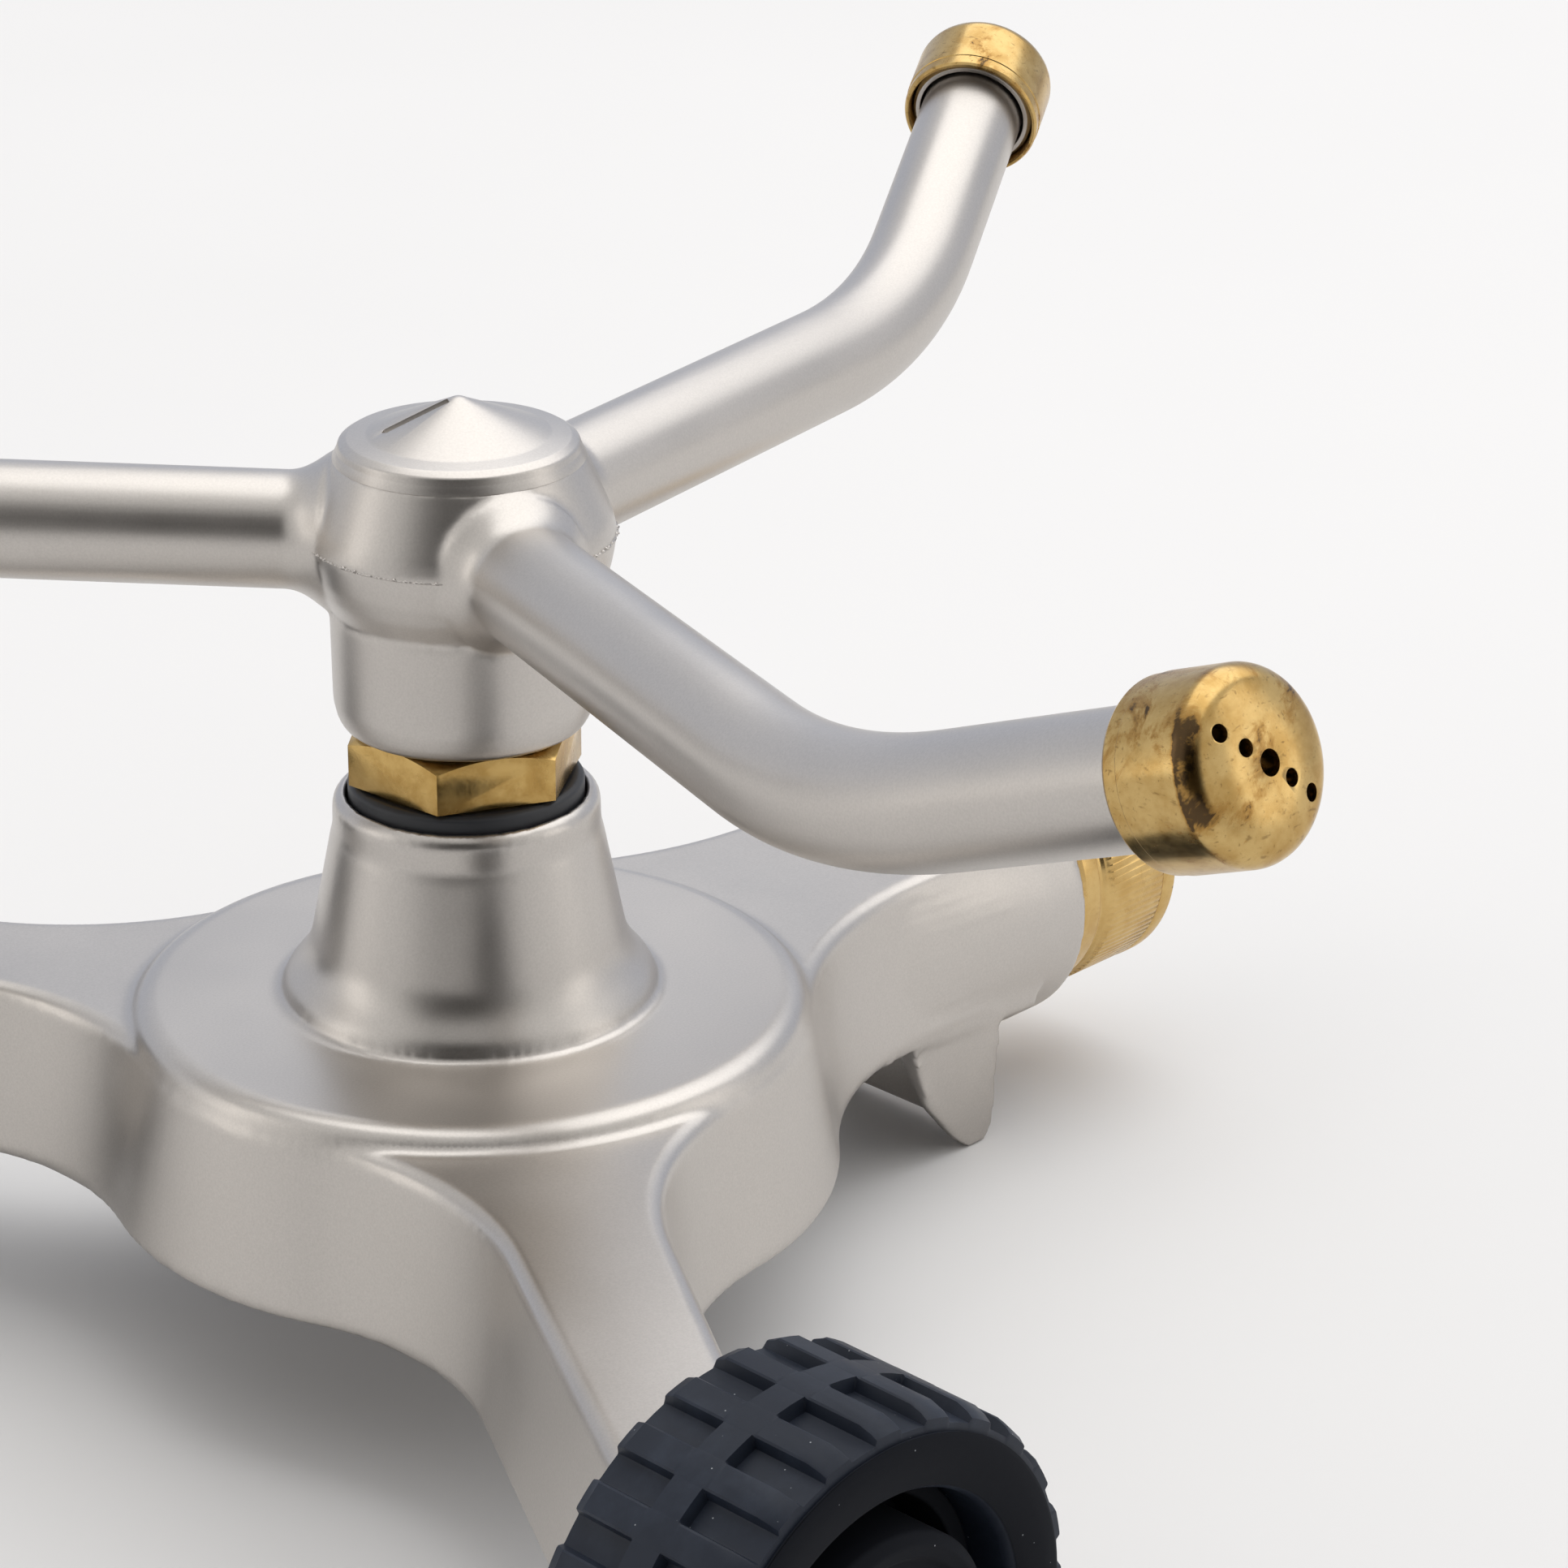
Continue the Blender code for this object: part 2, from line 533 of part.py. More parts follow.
arm_turns = [axes("arm_" + str(k + 1), (0, 0, 0), Matrix.Rotation(radians(120 * k), 3, "Z"), rotor)
             for k in range(3)]
z_to_run = inner_run.to_track_quat("Z", "Y").to_matrix()
sockets, socket_bores = [], []
for k, turn in enumerate(arm_turns):
    line = axes("socket_line_" + str(k + 1), arm_centre, z_to_run, turn)
    sockets.append(turned("socket_form_" + str(k + 1), [
        (0, 15.6), (6.5, 15.6), (6.6, 15.1), (6.85, 14.4), (7.2, 13.7), (7.2, 11.8), (0, 11.8)],
        line, steps=16, solid=True))
    socket_bores.append(turned("socket_bore_" + str(k + 1), [
        (0, 20.0), (ARM_R + GAP, 20.0), (ARM_R + GAP, ARM_START - GAP), (ARM_BORE_R, ARM_START - GAP),
        (ARM_BORE_R, 6.0), (0, 6.0)], line, steps=16, solid=True))
join(hub_bore, *socket_bores)
join(hub, *sockets)
cut(hub, hub_bore)
weld(hub)

level = Vector((0, 0, 1)).cross(outer_run).normalized()
outer_axes = Matrix((level, outer_run.cross(level), outer_run)).transposed()

for k, turn in enumerate(arm_turns):
    number = str(k + 1)
    arm = tube("arm_form_" + number, arm_path(ARM_START, ARM_OUTER), ARM_R, 20, turn)
    arm = baked(arm, "arm_tube_" + number, SATIN)
    cut(arm, tube("arm_bore_" + number, arm_path(ARM_START - 2, ARM_OUTER + 2), ARM_BORE_R, 12, turn))
    weld(arm)

    # Nozzle: threaded ferrule on the arm's end, gasket, and a cup with five jets in a row
    nozzle = axes("nozzle_" + number, corner, outer_axes, turn)
    turned("arm_ferrule_" + number, [
        (7.1, 47.2), (7.1, 41.2), (6.8, 40.9), (ARM_R + GAP, 40.9), (ARM_R + GAP, 47.2)], nozzle, SATIN,
        steps=20)
    turned("nozzle_gasket_" + number, [(7.0, 48.4), (7.0, 47.5), (5.2, 47.5), (5.2, 48.4)],
           nozzle, RUBBER, steps=12)
    cup = turned("nozzle_cap_" + number, [
        (0, 50.6), (3.0, 50.45), (5.6, 50.0), (7.0, 49.1), (7.85, 47.7), (CAP_R, 46.0), (CAP_R, 40.5),
        (7.85, CAP_REAR), (CAP_BORE_R, CAP_REAR), (CAP_BORE_R, 48.7), (0, 48.7)],
        nozzle, BRASS, steps=20, solid=True)
    tilt = radians(JET_ROW_TILT)
    for jet in range(-2, 3):
        place = (jet * JET_SPACING * cos(tilt), jet * JET_SPACING * sin(tilt), 0)
        bore_axis = axes("jet_axis_" + number + "_" + str(jet + 3), place, None, nozzle)
        radius = JET_R if jet else JET_MIDDLE_R
        cut(cup, rod("jet_" + number + "_" + str(jet + 3), radius, 46.0, 52.0, bore_axis, 8))
    weld(cup)


# Wheels: tyre with lugs either side of a rib, a moulded wheel centre, pin, washer and push-on cap

def tyre(name, parent):
    """A turned tyre whose tread floor has the rib and every other field of the two side rows raised."""
    floor = WHEEL_R - LUG_DEPTH
    rib_low, rib_high = 7.35, 11.0
    blank = turned(name + "_blank", [
        (TYRE_BORE_R, WHEEL_WIDTH - 1.0), (17.8, WHEEL_WIDTH - 0.2), (21.8, WHEEL_WIDTH - 0.2),
        (floor, WHEEL_WIDTH - 0.9), (floor, WHEEL_WIDTH - 2.4), (floor, rib_high), (floor, rib_low),
        (floor, 1.4), (floor, 0.3), (22.2, 0), (TYRE_BORE_R, 0)], parent, TYRE, steps=2 * LUGS)
    piece = baked(blank, name, TYRE)
    bm = bmesh.new()
    bm.from_mesh(piece.data)
    raised = []
    for face in bm.faces:
        middle = face.calc_center_median() / MM
        if abs(hypot(middle.x, middle.y) - floor) > 0.2 or not 0.2 < middle.z < WHEEL_WIDTH - 0.8:
            continue
        field = ceil(atan2(middle.y, middle.x) / (pi / LUGS))
        if rib_low < middle.z < rib_high or field % 2 == 0:
            raised.append(face)
    made = bmesh.ops.extrude_face_region(bm, geom=raised)["geom"]
    bmesh.ops.delete(bm, geom=[face for face in raised if face.is_valid], context="FACES")
    for vert in (v for v in made if isinstance(v, bmesh.types.BMVert)):
        out = Vector((vert.co.x, vert.co.y, 0)).normalized()
        shoulder = not 0.5 * MM < vert.co.z < (WHEEL_WIDTH - 1.0) * MM
        vert.co += out * LUG_DEPTH * MM * (0.6 if shoulder else 1.0)
    bm.to_mesh(piece.data)
    bm.free()


for side in ("right", "left"):
    still = bpy.data.objects["axle_" + side]
    spin = axes("wheel_" + side, (0, 0, 0), Matrix.Rotation(radians(WHEEL_PHASE), 3, "Z"), still)
    tyre("wheel_" + side + "_tyre", spin)
    turned("wheel_" + side + "_hub", [
        (7.4, 19.8), (12.4, 19.8), (13.4, 19.0), (13.2, 8.0), (15.0, 8.0), (15.0, 14.4), (16.7, 14.4),
        (16.7, 2.4), (12.0, 2.4), (12.0, 6.4), (6.5, 6.4), (6.5, 0), (AXLE_R + GAP, 0), (AXLE_R + GAP, 14.0),
        (7.4, 14.0)], spin, TYRE, steps=24)
    turned("axle_pin_" + side, [
        (0, 17.0), (2.5, 17.0), (AXLE_R, 16.5), (AXLE_R, -13.0), (0, -13.0)],
        still, STEEL, steps=12, solid=True)
    turned("axle_washer_" + side, [(6.2, -0.2), (6.2, -1.0), (AXLE_R + GAP, -1.0), (AXLE_R + GAP, -0.2)],
           still, STEEL, steps=12)
    turned("axle_cap_" + side, [
        (0, 19.1), (3.5, 18.9), (6.2, 17.8), (6.8, 16.6), (6.8, 14.5), (AXLE_R + GAP, 14.5),
        (AXLE_R + GAP, 17.3), (0, 17.3)], still, STEEL, steps=16, solid=True)
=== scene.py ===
from math import atan2, cos, hypot, pi, radians, sin, sqrt, tan

import bmesh
import bpy
from mathutils import Matrix, Vector, noise


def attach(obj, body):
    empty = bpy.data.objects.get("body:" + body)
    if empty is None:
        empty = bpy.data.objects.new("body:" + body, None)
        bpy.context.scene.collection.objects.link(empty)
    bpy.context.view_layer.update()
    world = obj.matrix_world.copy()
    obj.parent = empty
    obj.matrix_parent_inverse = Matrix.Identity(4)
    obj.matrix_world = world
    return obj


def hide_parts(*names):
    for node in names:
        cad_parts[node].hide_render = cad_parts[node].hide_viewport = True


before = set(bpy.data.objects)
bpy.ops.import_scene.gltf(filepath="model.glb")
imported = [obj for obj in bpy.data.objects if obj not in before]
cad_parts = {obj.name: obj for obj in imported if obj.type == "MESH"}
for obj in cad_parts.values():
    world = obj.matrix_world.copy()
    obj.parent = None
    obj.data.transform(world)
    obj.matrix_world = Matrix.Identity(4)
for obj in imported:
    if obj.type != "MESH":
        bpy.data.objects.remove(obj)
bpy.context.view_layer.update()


# Camera: a long lens half a metre off, looking down on the sprinkler from between the right wheel and the
# inlet leg. It is placed from the middle of the raised pad's top, as every piece is.

MM = 0.001
ROTOR_AXIS = Vector((-13.87, 10.37, 0.0))       # where the rotor's axis meets the ground, mm
PAD_HEIGHT = 38.2                               # the pad's top above the ground, mm
LENS_PLACE = Vector((-292.6, -325.0, 205.55))   # from the pad's middle, mm
VIEW_TURN, VIEW_TIP, VIEW_ROLL = -46.25, 67.24, 0.43        # degrees
pad_middle = ROTOR_AXIS + Vector((0, 0, PAD_HEIGHT))
camera = bpy.data.objects.new("camera", bpy.data.cameras.new("camera"))
bpy.context.scene.collection.objects.link(camera)
camera.data.sensor_width = 36.0
camera.data.lens = 106.35
camera.data.clip_start = 0.05
camera.data.clip_end = 50.0
view = (Matrix.Rotation(radians(VIEW_TURN), 4, "Z") @ Matrix.Rotation(radians(VIEW_TIP), 4, "X")
        @ Matrix.Rotation(radians(VIEW_ROLL), 4, "Z"))
camera.matrix_world = Matrix.Translation((pad_middle + LENS_PLACE) * MM) @ view
bpy.context.scene.camera = camera
bpy.context.scene.view_settings.view_transform = "Standard"


# Studio: a white tent over a white paper floor, open towards the camera. The satin metal shows that opening
# as the soft dark bands down its middle, and the bluish light behind it on every level face.

def linear(code):
    """An sRGB hex colour as linear RGBA."""
    channels = [int(code[k:k + 2], 16) / 255 for k in (1, 3, 5)]
    return (*[c / 12.92 if c <= 0.04045 else ((c + 0.055) / 1.055) ** 2.4 for c in channels], 1.0)


def scale_for(size):
    """A texture's scale, from the size of its marks in mm."""
    return 1 / (size * MM)


def add(tree, kind, settings=(), inputs=()):
    """Adds a node. An input is given a value, or the output socket that feeds it."""
    made = tree.nodes.new(kind)
    for key, value in dict(settings).items():
        setattr(made, key, value)
    for key, value in dict(inputs).items():
        if isinstance(value, bpy.types.NodeSocket):
            tree.links.new(value, made.inputs[key])
        else:
            made.inputs[key].default_value = value
    return made


def new_material(name):
    """A material with only its output left, and the output."""
    material = bpy.data.materials.new(name)
    material.use_nodes = True
    material.node_tree.nodes.clear()
    return material, material.node_tree, material.node_tree.nodes.new("ShaderNodeOutputMaterial")


# Matte white paper: its shade drifts a little over 20 cm. The texture's own space is the whole floor.
FLOOR_HALF, PAPER_DRIFT = 6.0, 0.2              # m
paper, tree, output = new_material("white_background_paper")
drift = add(tree, "ShaderNodeTexNoise", {}, {"Scale": 2 * FLOOR_HALF / PAPER_DRIFT, "Detail": 3.0})
shade = add(tree, "ShaderNodeMix", {"data_type": "RGBA"},
            {0: drift.outputs["Fac"], 6: linear("#e8e7e6"), 7: linear("#edeceb")})
sheet = add(tree, "ShaderNodeBsdfPrincipled", {}, {
    "Base Color": shade.outputs[2], "Roughness": 0.9, "Specular IOR Level": 0.1})
tree.links.new(sheet.outputs[0], output.inputs["Surface"])

floor_mesh = bpy.data.meshes.new("floor")
floor_mesh.from_pydata([(x * FLOOR_HALF, y * FLOOR_HALF, 0) for x, y in ((-1, -1), (1, -1), (1, 1), (-1, 1))],
                       [], [(0, 1, 2, 3)])
floor = bpy.data.objects.new("floor", floor_mesh)
bpy.context.scene.collection.objects.link(floor)
floor.data.materials.append(paper)

# In plan, behind is away from the camera and right is as it sees it
plan_turn = Matrix.Rotation(radians(VIEW_TURN), 3, "Z")
behind = plan_turn @ Vector((0, 1, 0))
right = plan_turn @ Vector((1, 0, 0))


def soft_box(name, place, size, power, colour):
    """A rectangular area lamp aimed at the sprinkler."""
    lamp = bpy.data.lights.new(name, "AREA")
    lamp.shape = "RECTANGLE"
    lamp.size, lamp.size_y = size
    lamp.energy = power
    lamp.color = linear(colour)[:3]
    made = bpy.data.objects.new(name, lamp)
    bpy.context.scene.collection.objects.link(made)
    made.location = place
    made.rotation_euler = (Vector(place) - Vector((0, 0, 0.05))).to_track_quat("Z", "Y").to_euler()


soft_box("soft_box_above", behind * 0.4 + right * 0.25 + Vector((0, 0, 1.2)), (1.6, 1.6), 9.5, "#ffffff")
soft_box("soft_box_left", right * -1.1 + behind * -0.2 + Vector((0, 0, 0.35)), (0.35, 0.8), 0.7, "#fffaf4")
soft_box("soft_box_right", right * 1.1 + behind * -0.1 + Vector((0, 0, 0.4)), (0.35, 0.8), 0.7, "#fffaf4")

OPENING_CLEAR, OPENING_CLOSED = 18, 50          # degrees either side of the camera
LINTEL_LOW, LINTEL_HIGH = 38, 66                # degrees above level
tent = bpy.data.worlds.new("white_tent")
bpy.context.scene.world = tent
tent.use_nodes = True
tree = tent.node_tree
tree.nodes.clear()
where = add(tree, "ShaderNodeTexCoord").outputs["Generated"]
height = add(tree, "ShaderNodeSeparateXYZ", {}, {0: where})
level = add(tree, "ShaderNodeVectorMath", {"operation": "MULTIPLY"}, {0: where, 1: (1.0, 1.0, 0.0)})
aside = add(tree, "ShaderNodeVectorMath", {"operation": "NORMALIZE"}, {0: level.outputs["Vector"]})
facing = add(tree, "ShaderNodeVectorMath", {"operation": "DOT_PRODUCT"},
             {0: aside.outputs["Vector"], 1: -behind})
gap = add(tree, "ShaderNodeMapRange", {"interpolation_type": "SMOOTHSTEP"}, {
    0: facing.outputs["Value"], 1: cos(radians(OPENING_CLOSED)), 2: cos(radians(OPENING_CLEAR)),
    3: 0.0, 4: 1.0})
lintel = add(tree, "ShaderNodeMapRange", {"interpolation_type": "SMOOTHSTEP"}, {
    0: height.outputs["Z"], 1: sin(radians(LINTEL_LOW)), 2: sin(radians(LINTEL_HIGH)), 3: 1.0, 4: 0.0})
opening = add(tree, "ShaderNodeMath", {"operation": "MULTIPLY"}, {0: gap.outputs[0], 1: lintel.outputs[0]})
low_down = add(tree, "ShaderNodeMapRange", {}, {0: height.outputs["Z"], 1: 0.35, 2: 0.8, 3: 1.0, 4: 0.0})
at_back = add(tree, "ShaderNodeMapRange", {}, {0: facing.outputs["Value"], 1: -0.8, 2: 0.0, 3: 1.0, 4: 0.0})
cool = add(tree, "ShaderNodeMath", {"operation": "MULTIPLY"}, {0: low_down.outputs[0], 1: at_back.outputs[0]})
cloth = add(tree, "ShaderNodeMix", {"data_type": "RGBA"},
            {0: cool.outputs[0], 6: linear("#fbfaf9"), 7: linear("#dbe2f2")})
room = add(tree, "ShaderNodeMix", {"data_type": "RGBA"},
           {0: opening.outputs[0], 6: cloth.outputs[2], 7: linear("#363433")})
light = add(tree, "ShaderNodeBackground", {}, {"Color": room.outputs[2], "Strength": 0.86})
tree.links.new(light.outputs[0], add(tree, "ShaderNodeOutputWorld").inputs["Surface"])


# Base casting: the drum, its raised pad and cone tower, three legs, the foot and the inlet's collar.
# One zinc die casting with thin walls, open underneath. It is blasted and plated satin nickel, so every
# edge is soft and the surface has a fine even grain with a few pits.

def rounded(corners, closed=True, steps=5):
    """Corner points (x, y) or (x, y, radius), with an arc in place of each corner that has a radius."""
    points = []
    count = len(corners)
    for i, corner in enumerate(corners):
        here = Vector(corner[:2])
        radius = corner[2] if len(corner) > 2 else 0
        if not radius or (not closed and i in (0, count - 1)):
            points.append(here)
            continue
        before = (Vector(corners[i - 1][:2]) - here).normalized()
        after = (Vector(corners[(i + 1) % count][:2]) - here).normalized()
        half = before.angle(after) / 2
        centre = here + (before + after).normalized() * (radius / sin(half))
        start = here + before * (radius / tan(half)) - centre
        end = here + after * (radius / tan(half)) - centre
        sweep = atan2(start.x * end.y - start.y * end.x, start.dot(end))
        points += [centre + Matrix.Rotation(sweep * k / steps, 2) @ start for k in range(steps + 1)]
    return points


def placed(name, bm, where):
    """An object from a bmesh in metres, set down by a matrix, with smooth shading."""
    bmesh.ops.recalc_face_normals(bm, faces=bm.faces)
    mesh = bpy.data.meshes.new(name)
    bm.to_mesh(mesh)
    bm.free()
    mesh.shade_smooth()
    piece = bpy.data.objects.new(name, mesh)
    bpy.context.scene.collection.objects.link(piece)
    piece.matrix_world = where
    return piece


def around(k, steps, radius, height):
    """Point k of the steps round a circle about the Z axis, in metres."""
    return radius * cos(2 * pi * k / steps) * MM, radius * sin(2 * pi * k / steps) * MM, height * MM


def skin(bm, rings):
    """Faces from each ring of vertices to the next; a ring of one vertex closes the skin to a point."""
    for one, two in zip(rings, rings[1:]):
        steps = max(len(one), len(two))
        for i in range(steps):
            j = (i + 1) % steps
            corners = [one[i % len(one)], one[j % len(one)], two[j % len(two)], two[i % len(two)]]
            bm.faces.new(list(dict.fromkeys(corners)))


def turned(name, corners, where, steps=96, solid=False, fillet_steps=5):
    """A turned piece from (radius, height) corners that run down its outer side; solid ones meet the axis."""
    bm = bmesh.new()
    rings = [[bm.verts.new(around(k, steps, point.x, point.y)) for k in range(steps if point.x > 1e-6 else 1)]
             for point in rounded(corners, not solid, fillet_steps)]
    skin(bm, rings if solid else rings + rings[:1])
    return placed(name, bm, where)


def rod(name, radius, low, high, where, steps=48):
    """A plain cylinder along the Z axis of where, for boring and building up."""
    return turned(name, [(0, high), (radius, high), (radius, low), (0, low)], where, steps, solid=True)


def lofted(name, rings, where):
    """A closed skin through rings of (x, y, z) points that all have the same count."""
    bm = bmesh.new()
    loops = [[bm.verts.new(Vector(p) * MM) for p in ring] for ring in rings]
    skin(bm, loops)
    bm.faces.new(list(reversed(loops[0])))
    bm.faces.new(loops[-1])
    return placed(name, bm, where)


def plate(name, corners, half, where):
    """An upright plate from an outline in X and Z; half is its half thickness, even or as a rule of Z."""
    points = rounded(corners)
    side = half if callable(half) else (lambda z: half)
    return lofted(name, [[(p.x, sign * side(p.y), p.y) for p in points] for sign in (1, -1)], where)


def settle(piece):
    """Applies a piece's modifiers to its mesh."""
    bpy.context.view_layer.update()
    evaluated = piece.evaluated_get(bpy.context.evaluated_depsgraph_get())
    mesh = bpy.data.meshes.new_from_object(evaluated)
    piece.modifiers.clear()
    piece.data = mesh
    mesh.shade_smooth()


def combine(piece, operation, tools):
    """Joins tools to a piece or cuts them from it, and removes the tools."""
    for tool in tools:
        step = piece.modifiers.new(tool.name, "BOOLEAN")
        step.operation = operation
        step.object = tool
        step.solver = "EXACT"
    settle(piece)
    for tool in tools:
        bpy.data.objects.remove(tool)


def cut(piece, *tools):
    """Cuts tools away from a piece."""
    combine(piece, "DIFFERENCE", tools)


def join(piece, *tools):
    """Joins tools to a piece."""
    combine(piece, "UNION", tools)


def cast(piece, cell, passes):
    """Rounds every edge and inner corner as a mould does: an even skin of small cells, then smoothed."""
    even = piece.modifiers.new("even_skin", "REMESH")
    even.mode = "VOXEL"
    even.voxel_size = cell * MM
    even.use_smooth_shade = True
    ease = piece.modifiers.new("ease", "SMOOTH")
    ease.factor = 0.5
    ease.iterations = passes
    settle(piece)


def dress(piece, material, body, slot, *nodes):
    """Squares a piece up with the ground, gives it its finish and its body, and hides the solids it stands
    for.
    """
    piece.data.transform(piece.matrix_world.to_3x3().to_4x4())
    piece.matrix_world = Matrix.Translation(piece.matrix_world.translation)
    piece.data.materials.clear()
    piece.data.materials.append(material)
    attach(piece, body)
    if nodes:
        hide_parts(*nodes)
    return piece


# Sizes are in mm: heights from the pad's top, and lengths along a leg from the rotor's axis. A draft is what
# the mould's slope adds from the legs' top down to the skirt's edge.
LEG_TOP, SKIRT_BOTTOM, WALL, EDGE, RIB_HALF = -2.0, -20.8, 2.4, 1.4, 1.2
PAD_R, DRUM_R, DRUM_DRAFT, DRAFT, FILLET_DRAFT = 35.2, 35.4, 3.5, 2.6, 6.0
WHEEL_LEG_ANGLE, WHEEL_LEG_HALF, WHEEL_LEG_TAPER = 121.0, 9.3, 0.025
WHEEL_LEG_END, WHEEL_LEG_FILLET = 83.2, 36.0
INLET_LEG_HALF, INLET_LEG_END, INLET_LEG_FILLET, INLET_Z = 12.6, 74.0, 44.0, -13.3
FOOT_TOP_HALF, FOOT_TIP_HALF, FOOT_WALL = 15.1, 13.0, 1.8
TOWER_TOP, CUP_FLOOR, CUP_R = 22.3, 17.9, 12.35
COLLAR_R, COLLAR_END, NIPPLE_R = 16.25, 80.4, 9.0
WHEEL_X, WHEEL_INNER, WHEEL_R = -48.9, 84.5, 24.2
BLEND_STEPS, CHEEK_STEPS = 16, 12

pad_centre = Matrix.Translation(pad_middle * MM)
inlet_axis = pad_centre @ Matrix.Translation((0, 0, INLET_Z * MM)) @ Matrix.Rotation(pi / 2, 4, "Y")


def depth_share(z):
    """How far down the skirt a height is: 0 at the legs' top and 1 at its edge."""
    return (LEG_TOP - z) / (LEG_TOP - SKIRT_BOTTOM)


def leg_side(radius, half, taper, fillet):
    """Left side of a leg in its own frame: the blend's centre, and where it leaves the drum and the side."""
    slope = hypot(1, taper)
    reach = half + fillet * slope
    a, b, c = 1 + taper * taper, -2 * reach * taper, reach * reach - (radius + fillet) ** 2
    x = (-b + sqrt(b * b - 4 * a * c)) / (2 * a)
    centre = Vector((x, reach - taper * x))
    return centre, centre * (radius / (radius + fillet)), centre - Vector((taper, 1)) * (fillet / slope)


def leg_tip(angle, half, taper, inset, sign):
    """End corner of a leg in its own frame: the inlet leg ends square, a wheel leg along its wheel."""
    if angle == 0:
        return Vector((INLET_LEG_END - inset, sign * half))
    side = (WHEEL_LEG_END - inset) * (1 if angle > 0 else -1)
    run = sin(radians(angle)) - sign * taper * cos(radians(angle))
    reach = (side - sign * half * cos(radians(angle))) / run
    return Vector((reach, sign * (half - taper * reach)))


def sweep_points(centre, start, end):
    """Points of the arc about a centre from start to end."""
    a, b = start - centre, end - centre
    sweep = atan2(a.x * b.y - a.y * b.x, a.dot(b))
    return [centre + Matrix.Rotation(sweep * k / BLEND_STEPS, 2) @ a for k in range(BLEND_STEPS + 1)]


def leg_ring(angle, radius, share, inset):
    """Plan of one leg, from its right side's blend into the drum, round its end, to its left side's."""
    wheel = angle != 0
    half = (WHEEL_LEG_HALF if wheel else INLET_LEG_HALF) + DRAFT * share - inset
    taper = WHEEL_LEG_TAPER if wheel else 0.0
    fillet = (WHEEL_LEG_FILLET if wheel else INLET_LEG_FILLET) - FILLET_DRAFT * share + inset
    left = sweep_points(*leg_side(radius, half, taper, fillet))
    tips = [leg_tip(angle, half, taper, inset, sign) for sign in (-1, 1)]
    turn = Matrix.Rotation(radians(angle), 2)
    return [turn @ p for p in [Vector((p.x, -p.y)) for p in left] + tips + left[::-1]]


def casting_ring(height, inset):
    """Plan of the drum and its legs at a height, drawn in by an inset."""
    share = depth_share(height)
    radius = DRUM_R + DRUM_DRAFT * share - inset
    legs = [leg_ring(angle, radius, share, inset) for angle in (0.0, WHEEL_LEG_ANGLE, -WHEEL_LEG_ANGLE)]
    points = []
    for leg, next_leg in zip(legs, legs[1:] + legs[:1]):
        points += leg + sweep_points(Vector((0, 0)), leg[-1], next_leg[0])[1:-1]
    return [(p.x, p.y, height) for p in points]


edge_arc = [(EDGE * (1 - cos(pi / 2 * k / 5)), EDGE * (1 - sin(pi / 2 * k / 5))) for k in range(6)]
skirt_rings = [casting_ring(SKIRT_BOTTOM + rise, inset) for rise, inset in ((0, 1.1), (0.3, 0.4), (1.0, 0))]
top_rings = [casting_ring(LEG_TOP - drop, inset) for inset, drop in edge_arc]
cast_base = lofted("cast_base", skirt_rings + top_rings, pad_centre)
crown = turned("crown", [
    (0, TOWER_TOP), (12.6, TOWER_TOP, 0.5), (13.7, TOWER_TOP - 1.0, 0.9), (13.75, TOWER_TOP - 4.2),
    (13.95, TOWER_TOP - 4.6), (16.5, 4.9, 7.0), (19.4, 1.3, 2.6), (19.4, 0.0), (PAD_R, 0.0, 2.6),
    (PAD_R, LEG_TOP - 1.0), (33.0, LEG_TOP - 1.4), (0, LEG_TOP - 1.4)], pad_centre, 128, solid=True)
collar = turned("collar", [
    (0, COLLAR_END), (COLLAR_R, COLLAR_END, 0.6), (COLLAR_R, 73.9, 0.5), (15.2, 72.0), (13.4, 70.4),
    (11.6, 69.4), (0, 69.4)], inlet_axis, 96, solid=True)


def leg_half(z):
    """Half width of the inlet leg at a height."""
    return INLET_LEG_HALF + DRAFT * depth_share(z)


def cheek_ring(x, flare):
    """Section of the leg's flared end; flare is 0 where it leaves the leg's sides and 1 at the collar."""
    low, high = SKIRT_BOTTOM + 1.0, LEG_TOP - EDGE
    side = []
    for k in range(CHEEK_STEPS + 1):
        z = low + (high - low) * k / CHEEK_STEPS
        sunk = leg_half(z) - 0.3
        widest = max(leg_half(z), sqrt(COLLAR_R ** 2 - (z - INLET_Z) ** 2))
        side.append((sunk + flare * (widest - sunk), z))
    return [(x, y, z) for y, z in side] + [(x, -y, z) for y, z in reversed(side)]


CHEEK_START, CHEEK_END = 46.0, 73.7
cheeks = lofted("cheeks", [cheek_ring(CHEEK_START, 0), cheek_ring(CHEEK_END, 1)], pad_centre)


def foot_half(z):
    """Half width of the foot, which narrows downwards."""
    if z > SKIRT_BOTTOM:
        return leg_half(z) - 0.1
    return FOOT_TOP_HALF + (FOOT_TIP_HALF - FOOT_TOP_HALF) * (SKIRT_BOTTOM - z) / (SKIRT_BOTTOM + PAD_HEIGHT)


